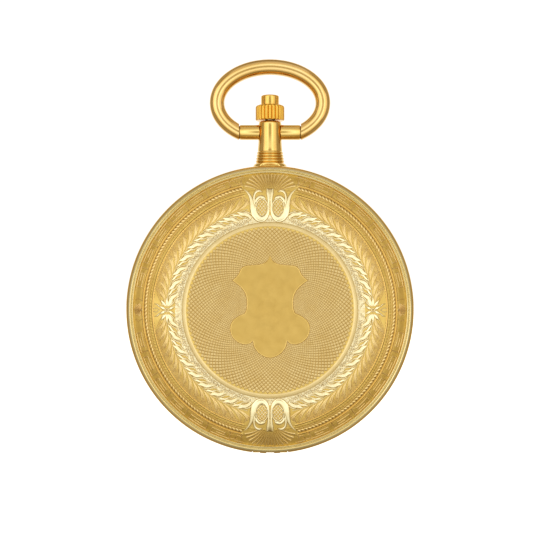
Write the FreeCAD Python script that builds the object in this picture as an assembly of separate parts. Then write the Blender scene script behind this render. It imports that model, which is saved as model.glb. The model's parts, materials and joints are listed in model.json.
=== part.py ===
"""Full-hunter pocket watch with a hand-wound lever movement, 50 mm across the case.

Everything is drawn first in the watch's own frame: x to the right, y towards 12 o'clock and z out of the dial.
At the end each piece is turned into the row frame, where +Z is towards the bow, -Y is the front of the watch, and
the origin is where a chain link bears on the inside of the bow. Lengths are in millimetres.
"""

import FreeCAD
import Part

import math
import os

V = FreeCAD.Vector

# ---- driving dimensions: case ----
CASE_R = 25.0            # widest radius, at the rims of the covers
BAND_R = 24.4            # outside of the case middle
BAND_HALF = 2.6          # half its height; the covers close on these two faces
BORE_R = 21.0            # hole through the case middle
COVER_FACE_Z = 6.1       # flat centre of either cover
COVER_FACE_R = 15.0      # radius of that flat centre
COVER_WALL = 0.5
RIM_INNER_R = 24.0       # inside of a cover's rim

# ---- driving dimensions: hinges of the covers, at 6 o'clock ----
HINGE_Y = -24.25
HINGE_Z = BAND_HALF
KNUCKLE_R = 0.58
HINGE_HOLE_R = 0.28
HINGE_PIN_R = 0.25
KNUCKLE_LENGTH = 1.2
KNUCKLES = 5             # 1, 3 and 5 are the case's, 2 and 4 the cover's
KNUCKLE_GAP = 0.06

# ---- driving dimensions: pendant, crown and bow ----
NECK_TOP = 33.0
NECK_BORE_R = 0.9
TRUNNION_Y = 31.1        # axis on which the bow swings
NECK_MID_R = 2.02        # radius of the neck at that axis
SLEEVE_R = 1.33
SLEEVE_END = 5.3         # |x| where a sleeve meets the bow
BOW_CENTRE_Y = 36.3
BOW_HALF_WIDTH = 9.32    # of the wire's centre line
BOW_HALF_HEIGHT = 6.32
BOW_WIRE_R = 1.38
TRUNNION_PIN_R = 0.5
CROWN_BOTTOM = 33.15
CROWN_TOP = 35.85
CROWN_R = 2.55
CROWN_RIBS = 22
BUTTON_R = 1.6
BUTTON_TOP = 37.65
BUTTON_SEAT = CROWN_BOTTOM + 1.8   # underside of the button's head
CROWN_FLOOR = CROWN_BOTTOM + 0.9   # where its spring stands
STEM_R = 0.75
STEM_BORE_R = 0.42
PUSH_ROD_R = 0.36

# ---- driving dimensions: dial side ----
DIAL_BACK = 1.5
DIAL_FRONT = 2.0
DIAL_R = 20.4
CRYSTAL_R = 20.25
BEZEL_R = 22.2
BEZEL_TOP = 3.45

# ---- driving dimensions: movement ----
MOVEMENT_R = 18.3
PLATE_DIAL_SIDE = 1.5
PLATE_TRAIN_SIDE = 0.3
BRIDGE_INNER = -1.2
BRIDGE_BACK = -2.1
RECESS_FLOOR = -1.65
WINDING_WHEEL_Z = (-2.05, -1.68)
COCK_Z = (-2.75, -2.15)

CENTRE = (0.0, 0.0)
THIRD = (3.33, -5.136)
FOURTH = (0.0, -9.0)
ESCAPE = (-4.03, -10.47)
PALLET = (-6.35, -8.26)
BALANCE = (-10.2, -4.6)
BARREL = (-6.43, 5.40)
CROWN_WHEEL = (0.0, 10.2)
MINUTE_WHEEL = (1.094, 3.007)
CLICK = (-12.63, 7.66)
SETTING_PIVOT = (3.4, 15.6)
DIAL_FEET = ((13.9, 5.1), (-13.9, -5.1))

TRAIN = {"centre": CENTRE, "third": THIRD, "fourth": FOURTH, "escape": ESCAPE, "pallet": PALLET}
BRIDGE_SCREWS = ((13.2, 8.4), (6.0, 15.4), (-13.6, 10.1), (15.6, -4.0), (9.8, -12.6), (-7.1, -14.0))
COCK_FOOT = (-16.575, -2.892)
JEWEL_R = 0.5
JEWEL_HOLE_R = 0.14
PIVOT_R = 0.11
ARBOR_R = 0.2

NODES = {}


# ---- helpers ----

def outline(start, *legs):
    """A closed wire in the XZ plane. A leg is (a, b), a line's end, or ((a, b), (a, b)), an arc's middle and end."""
    edges = []
    here = V(start[0], 0, start[1])
    for leg in legs + (start,):
        if isinstance(leg[0], tuple):
            middle, end = (V(a, 0, b) for a, b in leg)
            edges.append(Part.Arc(here, middle, end).toShape())
        else:
            end = V(leg[0], 0, leg[1])
            if end.distanceToPoint(here) < 1e-7:
                continue
            edges.append(Part.LineSegment(here, end).toShape())
        here = end
    return Part.Wire(edges)


def turned(start, *legs):
    """A solid of revolution about z from an outline of (radius, z)."""
    return Part.Face(outline(start, *legs)).revolve(V(0, 0, 0), V(0, 0, 1), 360)


def turned_upright(start, *legs):
    """A solid of revolution about y from an outline of (radius, y)."""
    solid = turned(start, *legs)
    solid.rotate(V(0, 0, 0), V(1, 0, 0), -90)
    return solid


def disc(at, radius, z0, z1):
    return Part.makeCylinder(radius, z1 - z0, V(at[0], at[1], z0))


def ring(at, outer, inner, z0, z1):
    return disc(at, outer, z0, z1).cut(disc(at, inner, z0 - 1, z1 + 1))


def rod_x(radius, x0, x1, y, z):
    return Part.makeCylinder(radius, x1 - x0, V(x0, y, z), V(1, 0, 0))


def rod_y(radius, y0, y1, x=0.0, z=0.0):
    return Part.makeCylinder(radius, y1 - y0, V(x, y0, z), V(0, 1, 0))


def block(x0, x1, y0, y1, z0, z1):
    return Part.makeBox(x1 - x0, y1 - y0, z1 - z0, V(x0, y0, z0))


def plate(points, z0, z1):
    """A flat plate from a polygon of (x, y)."""
    corners = [V(x, y, z0) for x, y in points]
    return Part.Face(Part.makePolygon(corners + corners[:1])).extrude(V(0, 0, z1 - z0))


def polar(at, radius, degrees):
    a = math.radians(degrees)
    return (at[0] + radius * math.cos(a), at[1] + radius * math.sin(a))


def bearing(a, b):
    """The direction from a to b, in degrees."""
    return math.degrees(math.atan2(b[1] - a[1], b[0] - a[0]))


def fused(first, *others):
    return first.multiFuse(list(others)).removeSplitter()


def mirrored(shape):
    """The same piece on the back of the watch."""
    return shape.mirror(V(0, 0, 0), V(0, 0, 1))


def gear(at, teeth, module, z0, z1, tooth_at, add=0.8, dedendum=1.1, fullness=0.42):
    """A spur wheel with straight-flanked teeth, one of which points in the direction tooth_at, in degrees."""
    pitch = teeth * module / 2
    step = 360 / teeth
    half = step * fullness / 2
    flank = ((pitch - dedendum * module, -1.25 * half), (pitch, -half), (pitch + add * module, -0.4 * half),
             (pitch + add * module, 0.4 * half), (pitch, half), (pitch - dedendum * module, 1.25 * half))
    points = [polar(at, r, tooth_at + i * step + a) for i in range(teeth) for r, a in flank]
    return plate(points, z0, z1)


def spoked(wheel, at, rim_inner, hub, z0, z1, spokes, spoke_width):
    """Cuts the windows between a wheel's spokes."""
    windows = ring(at, rim_inner, hub, z0 - 1, z1 + 1)
    bars = []
    for i in range(spokes):
        bar = block(0, rim_inner + 1, -spoke_width / 2, spoke_width / 2, z0 - 2, z1 + 2)
        bar.rotate(V(0, 0, 0), V(0, 0, 1), i * 360 / spokes + 20)
        bar.translate(V(at[0], at[1], 0))
        bars.append(bar)
    return wheel.cut(windows.cut(bars[0].multiFuse(bars[1:])))


def spiral(at, r0, r1, turns, thickness, z0, z1, start=0.0):
    """A flat spiral strip from radius r0 out to r1."""
    def line(offset):
        steps = int(turns * 12) + 1
        points = []
        for i in range(steps):
            share = i / (steps - 1)
            x, y = polar(at, r0 + (r1 - r0) * share + offset, start + 360 * turns * share)
            points.append(V(x, y, z0))
        curve = Part.BSplineCurve()
        curve.interpolate(points)
        return curve.toShape(), points[0], points[-1]
    inner, a0, a1 = line(-thickness / 2)
    outer, b0, b1 = line(thickness / 2)
    ends = (Part.LineSegment(a1, b1).toShape(), Part.LineSegment(b0, a0).toShape())
    return Part.Face(Part.Wire([inner, ends[0], outer, ends[1]])).extrude(V(0, 0, z1 - z0))


def screw(at, head_r, head_z, head_h, shank_r, shank_h):
    """A slotted screw whose head starts at head_z and stands towards the back, over a shank of shank_h."""
    head = disc(at, head_r, head_z, head_z + head_h)
    slot = block(at[0] - head_r, at[0] + head_r, at[1] - 0.1, at[1] + 0.1, head_z - 1, head_z + 0.4 * head_h)
    return fused(head.cut(slot), disc(at, shank_r, head_z + head_h - 0.05, head_z + head_h + shank_h))


def screw_hole(at, surface_z):
    """The counterbored hole for one of the bridge screws."""
    return disc(at, 0.82, surface_z - 1, surface_z + 0.23).fuse(disc(at, 0.37, surface_z - 1, surface_z + 0.9))


def bridge_screw(at, surface_z):
    return screw(at, 0.8, surface_z - 0.05, 0.28, 0.35, 0.5)


def arbor(at, z_back, z_front, pivot=0.25):
    """A train arbor with a pivot at each end."""
    return fused(disc(at, ARBOR_R, z_back, z_front), disc(at, PIVOT_R, z_back - pivot, z_front + pivot))


def node(name, shape):
    NODES[name] = shape


# ---- case ----

def knuckle_span(i):
    x0 = (i - KNUCKLES / 2) * KNUCKLE_LENGTH
    return x0 + KNUCKLE_GAP / 2, x0 + KNUCKLE_LENGTH - KNUCKLE_GAP / 2


def cover_blank():
    """The front cover without its hinge: a polished double-beaded rim, a domed shoulder and a flat centre."""
    face, radius = COVER_FACE_Z, COVER_FACE_R
    return turned(
        (0, face), (radius, face),
        ((19.30, 5.28), (23.34, 3.66)),
        ((23.56, 3.76), (23.78, 3.62)),
        ((24.0, 3.74), (24.22, 3.56)),
        ((24.82, 3.2), (CASE_R, BAND_HALF)),
        (RIM_INNER_R, BAND_HALF), (RIM_INNER_R, 2.95),
        (23.1, 3.22),
        ((19.1, 4.77), (radius, face - COVER_WALL)),
        (0, face - COVER_WALL))


def front_cover():
    cover = cover_blank()
    lip = block(-1.2, 1.2, 23.72, RIM_INNER_R + 0.5, 2.72, 3.0)
    cover = fused(cover, lip)
    for i in range(KNUCKLES):
        x0, x1 = knuckle_span(i)
        if i % 2:
            cover = fused(cover, rod_x(KNUCKLE_R, x0, x1, HINGE_Y, HINGE_Z))
        else:
            grow = KNUCKLE_GAP
            cover = cover.cut(block(x0 - grow, x1 + grow, -26, -23.55, 2.0, HINGE_Z + KNUCKLE_R + 0.07))
    return cover.cut(rod_x(HINGE_HOLE_R, -6, 6, HINGE_Y, HINGE_Z)).removeSplitter()


def back_cover():
    """The front cover mirrored, without the catch's lip."""
    lip = block(-1.3, 1.3, 23.6, RIM_INNER_R, 2.65, 3.1)
    return mirrored(NODES["front_cover"].cut(lip))


def case_middle():
    groove_r, groove_half = BAND_R - 0.18, 0.09
    band = turned(
        (BORE_R, -BAND_HALF), (BAND_R, -BAND_HALF),
        (BAND_R, -1.5 - groove_half), (groove_r, -1.5), (BAND_R, -1.5 + groove_half),
        (BAND_R, 1.5 - groove_half), (groove_r, 1.5), (BAND_R, 1.5 + groove_half),
        (BAND_R, BAND_HALF), (BORE_R, BAND_HALF))
    for side in (1, -1):
        z = side * HINGE_Z
        for i in range(KNUCKLES):
            x0, x1 = knuckle_span(i)
            if i % 2:
                band = band.cut(rod_x(KNUCKLE_R + 0.28, x0 - KNUCKLE_GAP, x1 + KNUCKLE_GAP, HINGE_Y, z))
            else:
                band = fused(band, rod_x(KNUCKLE_R, x0, x1, HINGE_Y, z))
        end = KNUCKLES * KNUCKLE_LENGTH / 2
        for x0, x1 in ((-end - 0.5, -end), (end, end + 0.5)):
            band = band.cut(rod_x(KNUCKLE_R + 0.05, x0, x1, HINGE_Y, z))
        band = band.cut(rod_x(HINGE_PIN_R + 0.01, -6, 6, HINGE_Y, z))
    band = band.cut(rod_y(1.92, 20, 25))
    band = band.cut(block(-1.35, 1.35, 19, 21.95, 0, 3))
    return band.cut(block(-1.35, 1.35, 19, 23.72, 1.95, 3))


def hinge_pin(z):
    half = KNUCKLES * KNUCKLE_LENGTH / 2
    return rod_x(HINGE_PIN_R, -half, half, HINGE_Y, z)


def bezel():
    return turned(
        (20.3, BAND_HALF), (20.3, 3.2), ((20.75, BEZEL_TOP), (21.3, BEZEL_TOP)),
        ((21.95, 3.25), (BEZEL_R, BAND_HALF)), (20.95, BAND_HALF), (20.95, 2.1), (20.55, 2.1), (20.55, BAND_HALF))


def crystal():
    return turned(
        (0, 4.2), (1.0, 4.2), ((12.0, 3.7), (CRYSTAL_R, BAND_HALF + 0.02)), (CRYSTAL_R, 3.1),
        ((12.0, 4.28), (1.0, 4.85)), (0, 4.85))


def rear_bezel():
    return mirrored(bezel())


def rear_crystal():
    return disc((0, 0), CRYSTAL_R, -3.4, -2.9)


def dial_flange():
    """The sloping ring between the dial and the crystal."""
    return turned((19.4, DIAL_FRONT), (20.5, DIAL_FRONT), (20.5, 2.55), (20.1, 2.55))


def lift_spring():
    """The strip under the front cover's rim that throws it open when the catch lets go."""
    strip = ring((0, 0), 20.95, 20.7, 0.2, 1.4)
    return strip.common(block(-14, 14, -22, -15, 0, 2))


# ---- pendant and bow ----

def neck():
    """The pendant tube: foot, four turned beads, barrel and a tenon brazed into the case middle."""
    beads = []
    bead_r, pitch, first = 2.56, 0.49, 25.72
    for i in range(4):
        y = first + i * pitch
        r = bead_r - 0.07 * i
        beads.append(((r, y + pitch / 2), (r - 0.2, y + pitch)))
    tube = turned_upright(
        (NECK_BORE_R, 23.0), (1.9, 23.0), (1.9, 24.0), (2.95, 24.0), (2.95, 24.9),
        ((2.8, 25.34), (bead_r - 0.14, first)), *beads,
        (2.2, 27.9), ((2.07, 28.7), (NECK_MID_R, 29.7)), (NECK_MID_R, 32.5),
        ((1.91, 32.85), (1.65, NECK_TOP)), (NECK_BORE_R, NECK_TOP))
    foot_waste = disc((0, 0), BAND_R, -4, 4).cut(rod_y(1.9, 21, 25))
    tube = tube.cut(foot_waste)
    for side in (1, -1):
        tube = tube.cut(block(-4, 4, 22, 25.3, min(side * 2.45, side * 4), max(side * 2.45, side * 4)))
    return tube.cut(rod_x(TRUNNION_PIN_R + 0.01, -4, 4, TRUNNION_Y, 0)).removeSplitter()


def bow_sleeves():
    """The two drilled barrels on either side of the neck that the bow turns against."""
    both = rod_x(SLEEVE_R, -SLEEVE_END, SLEEVE_END, TRUNNION_Y, 0)
    return both.cut(rod_x(TRUNNION_PIN_R + 0.01, -6, 6, TRUNNION_Y, 0)).cut(rod_y(NECK_MID_R, 28, 35))


def bow_pins():
    return Part.makeCompound([rod_x(TRUNNION_PIN_R, x0, x1, TRUNNION_Y, 0) for x0, x1 in ((-6.4, -1.05), (1.05, 6.4))])


def bow():
    """Round wire bent to an ellipse, sawn off square where it meets the two sleeves."""
    centre = V(0, BOW_CENTRE_Y, 0)
    path = Part.Ellipse(V(BOW_HALF_WIDTH, BOW_CENTRE_Y, 0), V(0, BOW_CENTRE_Y + BOW_HALF_HEIGHT, 0), centre)
    open_from = math.radians(-62)
    path = path.toShape(open_from, math.pi - open_from)
    start = path.valueAt(path.FirstParameter)
    along = path.tangentAt(path.FirstParameter)
    section = Part.Wire([Part.Circle(start, along, BOW_WIRE_R).toShape()])
    loop = Part.Wire([path]).makePipeShell([section], True, True)
    gap = SLEEVE_END + 0.03
    loop = loop.cut(block(-gap, gap, 25, 33, -3, 3))
    for side in (1, -1):
        x0, x1 = sorted((side * 4, side * 6.5))
        loop = loop.cut(rod_x(TRUNNION_PIN_R + 0.04, x0, x1, TRUNNION_Y, 0))
    return loop


def crown():
    """Ribbed winding crown, hollow for the button, with a skirt that stops short of the neck."""
    body = turned_upright(
        (1.0, CROWN_BOTTOM), (2.35, CROWN_BOTTOM), (CROWN_R, CROWN_BOTTOM + 0.14), (CROWN_R, CROWN_TOP - 0.4),
        ((2.38, CROWN_TOP - 0.13), (2.1, CROWN_TOP)), (BUTTON_R + 0.05, CROWN_TOP), (BUTTON_R + 0.05, CROWN_FLOOR),
        (STEM_BORE_R, CROWN_FLOOR), (STEM_BORE_R, CROWN_FLOOR - 0.5), (1.0, CROWN_FLOOR - 0.5))
    flutes = []
    for i in range(CROWN_RIBS):
        x, z = polar((0, 0), CROWN_R + 0.05, (i + 0.5) * 360 / CROWN_RIBS)
        flutes.append(rod_y(0.17, CROWN_BOTTOM - 0.1, CROWN_TOP + 0.1, x, z))
    return body.cut(flutes)


def winding_stem():
    """A hollow stem, slotted where the push rod's cross pin reaches the catch, with a groove for the setting lever."""
    tube = rod_y(STEM_R, 10.05, CROWN_FLOOR - 0.5).cut(rod_y(STEM_BORE_R, 20.2, 35))
    tube = tube.cut(block(-2, 2, 20.4, 22.0, -0.22, 0.22))
    groove = rod_y(2, 15.7, 16.4).cut(rod_y(0.45, 15, 17))
    return tube.cut(groove)


def crown_button():
    head = turned_upright(
        (0, BUTTON_SEAT), (BUTTON_R, BUTTON_SEAT), (BUTTON_R, BUTTON_TOP - 0.3),
        ((1.48, BUTTON_TOP - 0.12), (1.2, BUTTON_TOP - 0.05)), ((0.8, BUTTON_TOP - 0.01), (0.4, BUTTON_TOP)), (0, BUTTON_TOP))
    pin = rod_x(0.18, -1.25, 1.25, 21.75, 0)
    return fused(head, rod_y(PUSH_ROD_R, 21.3, BUTTON_SEAT + 0.1), pin)


def button_spring():
    """The coil of flat wire in the crown that lifts the button."""
    coil = Part.makeHelix(0.26, 0.78, 1.0)
    inner, outer, half = 0.92, 1.08, 0.04
    corners = [V(inner, 0, -half), V(outer, 0, -half), V(outer, 0, half), V(inner, 0, half), V(inner, 0, -half)]
    spring = Part.Wire(coil.Edges).makePipeShell([Part.makePolygon(corners)], True, True)
    spring.rotate(V(0, 0, 0), V(1, 0, 0), -90)
    spring.translate(V(0, CROWN_FLOOR + 0.06, 0))
    return spring


def cover_catch():
    """A collar round the stem that the cross pin presses inwards, with the nose that holds the front cover."""
    collar = rod_y(1.4, 20.95, 21.5).cut(rod_y(STEM_R + 0.08, 20, 23))
    post = block(-1.2, 1.2, 20.95, 21.5, 0.9, 1.95)
    riser = block(-1.2, 1.2, 21.2, 21.95, 1.4, 2.05)
    arm = block(-1.2, 1.2, 21.41, 23.3, 2.0, 2.5)
    nose = block(-1.2, 1.2, 23.05, 23.5, 2.05, 3.05).cut(block(-2, 2, 23.3, 24, 2.0, 2.1))
    hook = block(-1.2, 1.2, 23.4, 23.66, 3.05 - 0.3, 3.05)
    return fused(collar, post, riser, arm, nose, hook).cut(rod_y(STEM_R + 0.08, 20, 23))


# ---- dial and hands ----

def dial():
    """A flat dial on two feet, with a sunk small-seconds circle."""
    blank = fused(disc((0, 0), DIAL_R, DIAL_BACK, DIAL_FRONT), *[disc(at, 0.4, 0.7, DIAL_BACK) for at in DIAL_FEET])
    blank = blank.cut(disc(FOURTH, 4.7, DIAL_FRONT - 0.12, DIAL_FRONT + 1))
    return blank.cut(disc(CENTRE, 1.25, 0, 3)).cut(disc(FOURTH, 0.4, 0, 3))


def hand(at, length, tail, width, z0, z1, boss_r, hole_r, degrees):
    """A spade hand: boss, tapering blade with a leaf near the tip, and a short tail."""
    leaf = 0.62 * length
    points = [(-tail, width * 0.35), (0, width * 0.5), (leaf, width * 0.3), (leaf + 0.06 * length, width * 0.95),
              (leaf + 0.14 * length, width * 0.95), (length, 0.05)]
    shape = plate(points + [(x, -y) for x, y in reversed(points)], z0, z1)
    shape = fused(shape, disc((0, 0), boss_r, z0, z1)).cut(disc((0, 0), hole_r, z0 - 1, z1 + 1))
    shape.rotate(V(0, 0, 0), V(0, 0, 1), degrees)
    shape.translate(V(at[0], at[1], 0))
    return shape


def clock_angle(share):
    """The drawing angle of a hand that has gone this share of a turn past 12."""
    return 90 - 360 * share


def hands():
    minutes, hours, seconds = 9 / 60, (10 + 9 / 60) / 12, 35 / 60
    node("minute_hand", hand(CENTRE, 16.2, 3.0, 1.1, 2.85, 3.0, 1.15, 0.62, clock_angle(minutes)))
    node("hour_hand", hand(CENTRE, 11.0, 2.4, 1.5, 2.5, 2.65, 1.5, 1.0, clock_angle(hours)))
    node("seconds_hand", hand(FOURTH, 3.9, 1.4, 0.36, 2.2, 2.3, 0.5, ARBOR_R, clock_angle(seconds)))


# ---- motion works, on the dial side of the plate ----

def motion_works():
    to_minute = bearing(CENTRE, MINUTE_WHEEL)
    module, z_low, z_high = 0.16, (0.88, 1.08), (1.15, 1.35)
    pinion = gear(CENTRE, 10, module, *z_low, to_minute, add=0.7)
    node("cannon_pinion", fused(pinion, disc(CENTRE, 0.62, 0.88, 3.0)).cut(disc(CENTRE, 0.32, 0, 4)))
    wheel = gear(MINUTE_WHEEL, 30, module, *z_low, to_minute + 180 + 6)
    leaf = gear(MINUTE_WHEEL, 8, module, z_low[1], 1.4, to_minute + 180, add=0.7)
    node("minute_wheel", fused(wheel, leaf).cut(disc(MINUTE_WHEEL, 0.24, 0, 2)))
    hour = gear(CENTRE, 32, module, *z_high, to_minute + 180 / 32)
    node("hour_wheel", fused(hour, disc(CENTRE, 1.0, z_high[0], 2.65)).cut(disc(CENTRE, 0.66, 0, 4)))


# ---- movement: plate, bridges and cocks ----

def stem_tunnel():
    return rod_y(STEM_R + 0.06, 9.0, 21.5)


def movement_ring():
    """The spacer that centres the movement in the case middle."""
    spacer = ring((0, 0), 20.6, MOVEMENT_R + 0.03, BRIDGE_BACK, PLATE_DIAL_SIDE)
    return spacer.cut([stem_tunnel(), rod_y(1.55, 20.3, 21), block(-1.35, 1.35, 20.3, 21, 0, 2)])


def main_plate():
    base = disc((0, 0), MOVEMENT_R, PLATE_TRAIN_SIDE, PLATE_DIAL_SIDE)
    for at, r in ((CENTRE, 2.9), (MINUTE_WHEEL, 2.75)):
        base = base.cut(disc(at, r, 0.8, 2))
    holes = [disc(at, JEWEL_R, 0, 2) for at in TRAIN.values()]
    holes += [disc(BALANCE, JEWEL_R, 0, 2), disc(BARREL, 0.62, 0, 2), disc(CLICK, 0.3, 0, 2)]
    holes += [block(-1.7, 1.7, 10.0, 15.0, 0, 2), stem_tunnel(), disc(SETTING_PIVOT, 0.3, 0, 2)]
    holes += [disc(at, 0.42, 0, 2) for at in DIAL_FEET]
    holes += [block(-1.2, 4.6, 14.9, 18.0, 0.82, 2), block(-0.45, 0.75, 15.5, 17.7, 0, 2)]
    return fused(base.cut(holes), disc(MINUTE_WHEEL, 0.22, 0.7, 1.45))


def bridge_blank():
    return disc((0, 0), MOVEMENT_R - 0.1, BRIDGE_BACK, BRIDGE_INNER)


def barrel_bridge():
    body = bridge_blank().common(block(-20, 20, 2.35, 20, -4, 0))
    body = body.cut(disc(BALANCE, 5.6, -4, 0))
    foot = ring((0, 0), MOVEMENT_R - 0.1, 16.6, BRIDGE_INNER - 0.1, PLATE_TRAIN_SIDE)
    foot = foot.common(block(-20, 20, 4.5, 20, -2, 1)).cut(disc(BARREL, 7.6, -2, 1))
    body = fused(body, foot)
    body = body.cut([
        disc(BARREL, 4.95, BRIDGE_BACK - 1, RECESS_FLOOR),
        disc(BARREL, 1.0, -3, 0),
        disc(CROWN_WHEEL, 3.6, BRIDGE_BACK - 1, RECESS_FLOOR),
        ring(CROWN_WHEEL, 3.6, 2.4, BRIDGE_BACK - 1, -1.45),
        block(-1.7, 1.7, 12.3, 15.0, RECESS_FLOOR, 1),
        disc(CLICK, 1.75, BRIDGE_BACK - 1, RECESS_FLOOR),
        disc(polar(CLICK, 1.6, bearing(CLICK, BARREL)), 1.1, BRIDGE_BACK - 1, RECESS_FLOOR),
        disc(CLICK, 0.34, -3, 0),
        *[screw_hole(at, BRIDGE_BACK) for at in BRIDGE_SCREWS],
        stem_tunnel()])
    body = fused(body, disc(CROWN_WHEEL, 1.25, WINDING_WHEEL_Z[0] - 0.03, RECESS_FLOOR + 0.1))
    return body.cut(disc(CROWN_WHEEL, 0.31, -3, -1.5))


def train_bridge():
    body = bridge_blank().common(block(-5.2, 20, -20, 2.15, -4, 0))
    body = body.cut(disc(BALANCE, 5.6, -4, 0)).cut(disc(PALLET, 3.0, -4, 0)).cut(disc((-6.2, -13.5), 4.0, -4, 0))
    foot = ring((0, 0), MOVEMENT_R - 0.1, 15.6, BRIDGE_INNER - 0.1, PLATE_TRAIN_SIDE)
    body = fused(body, foot.common(block(5, 20, -20, 1, -2, 1)))
    body = body.cut([disc(TRAIN[n], JEWEL_R, -4, 0) for n in ("centre", "third", "fourth", "escape")])
    body = body.cut([screw_hole(at, BRIDGE_BACK) for at in BRIDGE_SCREWS])
    return body.cut(disc(BARREL, 4.95, BRIDGE_BACK - 1, RECESS_FLOOR))


def pallet_bridge():
    arm = plate([(-9.2, -14.6), (-5.6, -15.9), (-5.5, -8.2), (-7.2, -8.2)], BRIDGE_BACK, -1.4)
    foot = block(-8.4, -5.7, -15.0, -12.8, -1.5, PLATE_TRAIN_SIDE)
    body = fused(arm, foot, disc(PALLET, 0.9, BRIDGE_BACK, -1.4)).cut(disc(BALANCE, 4.7, -4, 0))
    return body.cut([disc(PALLET, JEWEL_R, -4, 0), screw_hole(BRIDGE_SCREWS[-1], BRIDGE_BACK)])


def balance_cock():
    arm = plate([polar(BALANCE, 1.1, 75), polar(BALANCE, 1.1, 255), polar(COCK_FOOT, 1.9, 255),
                 polar(COCK_FOOT, 1.9, 75)], *COCK_Z)
    foot = disc(COCK_FOOT, 1.9, COCK_Z[0], PLATE_TRAIN_SIDE).cut(disc(BALANCE, 5.0, COCK_Z[1], 1))
    body = fused(arm, foot, disc(BALANCE, 1.5, *COCK_Z)).common(disc((0, 0), MOVEMENT_R - 0.1, -4, 2))
    return body.cut([disc(BALANCE, JEWEL_R, -4, 0), screw_hole(COCK_FOOT, COCK_Z[0])]).removeSplitter()


def jewels():
    """Every pierced bearing stone: in the bridges, in the balance cock and in the plate."""
    back = [ring(TRAIN[n], JEWEL_R, JEWEL_HOLE_R, BRIDGE_BACK, BRIDGE_INNER) for n in ("third", "fourth", "escape")]
    back.append(ring(CENTRE, JEWEL_R, JEWEL_HOLE_R, BRIDGE_BACK, BRIDGE_INNER))
    back.append(ring(PALLET, JEWEL_R, JEWEL_HOLE_R, BRIDGE_BACK, -1.4))
    back.append(ring(BALANCE, JEWEL_R, JEWEL_HOLE_R, *COCK_Z))
    front = [ring(TRAIN[n], JEWEL_R, JEWEL_HOLE_R, PLATE_TRAIN_SIDE, 0.8) for n in ("third", "fourth", "escape", "pallet")]
    front.append(ring(BALANCE, JEWEL_R, JEWEL_HOLE_R, PLATE_TRAIN_SIDE, 0.8))
    front.append(ring(CENTRE, JEWEL_R, 0.31, PLATE_TRAIN_SIDE, 0.8))
    return Part.makeCompound(back + front)


# ---- barrel and winding wheels ----

def barrel_parts():
    to_centre = bearing(BARREL, CENTRE)
    toothed = gear(BARREL, 72, 0.2, 0.03, 0.2, to_centre)
    cup = fused(toothed, disc(BARREL, 6.6, -0.85, 0.2)).cut(disc(BARREL, 6.3, -1, 0.03)).cut(disc(BARREL, 0.95, -2, 1))
    node("barrel", cup)
    node("barrel_lid", ring(BARREL, 6.28, 0.95, -0.85, -0.75))
    node("mainspring", spiral(BARREL, 1.5, 6.1, 11, 0.12, -0.7, -0.02))
    core = fused(disc(BARREL, 0.9, -0.9, 0.25), disc(BARREL, 0.6, -0.9, 0.9), disc(BARREL, 0.95, BRIDGE_INNER, -0.87),
                 disc(BARREL, 0.7, WINDING_WHEEL_Z[0], -0.9))
    node("barrel_arbor", core.cut(disc(BARREL, 0.31, -3, -1.2)))
    wheel = gear(BARREL, 47, 0.2, *WINDING_WHEEL_Z, bearing(BARREL, CROWN_WHEEL))
    node("ratchet_wheel", wheel.cut(disc(BARREL, 0.7, -3, 0)))
    node("ratchet_screw", screw(BARREL, 1.4, WINDING_WHEEL_Z[0] - 0.3, 0.3, 0.3, 0.8))


def crown_wheel_parts():
    to_ratchet = bearing(CROWN_WHEEL, BARREL)
    wheel = gear(CROWN_WHEEL, 33, 0.2, *WINDING_WHEEL_Z, to_ratchet + 180 / 33)
    face_teeth = []
    for i in range(33):
        tooth = block(2.6, 3.05, -0.13, 0.13, WINDING_WHEEL_Z[1] - 0.05, -1.52)
        tooth.rotate(V(0, 0, 0), V(0, 0, 1), 90 + (i + 0.5) * 360 / 33)
        tooth.translate(V(CROWN_WHEEL[0], CROWN_WHEEL[1], 0))
        face_teeth.append(tooth)
    node("crown_wheel", fused(wheel, *face_teeth).cut(disc(CROWN_WHEEL, 1.3, -4, 0)))
    node("crown_wheel_screw", screw(CROWN_WHEEL, 1.9, WINDING_WHEEL_Z[0] - 0.33, 0.3, 0.3, 0.5))


def keyless_works():
    """The pinions on the stem's square, and the setting lever in the stem's groove."""
    wheel = gear((0, 0), 15, 0.18, 0, 1.6, 90, add=0.65)
    wheel.rotate(V(0, 0, 0), V(1, 0, 0), -90)
    wheel.translate(V(0, 12.7, 0))
    bored = rod_y(STEM_R + 0.02, 9, 19)
    node("winding_pinion", wheel.cut(bored))
    clutch = gear((0, 0), 12, 0.17, 0, 0.5, 90, add=0.65)
    clutch.rotate(V(0, 0, 0), V(1, 0, 0), -90)
    clutch.translate(V(0, 10.3, 0))
    waist = fused(clutch, rod_y(0.95, 10.6, 11.2), rod_y(1.15, 11.2, 12.6))
    node("clutch_pinion", waist.cut(bored))
    lever = fused(
        plate([polar(SETTING_PIVOT, 0.7, 60), (-0.5, 16.4), (-0.5, 15.7), polar(SETTING_PIVOT, 0.7, 240)], 0.95, 1.35),
        disc(SETTING_PIVOT, 0.7, 0.95, 1.35), disc(SETTING_PIVOT, 0.27, 0.4, 1.0), disc((0, 16.05), 0.28, 0.55, 1.0))
    node("setting_lever", lever)


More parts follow.
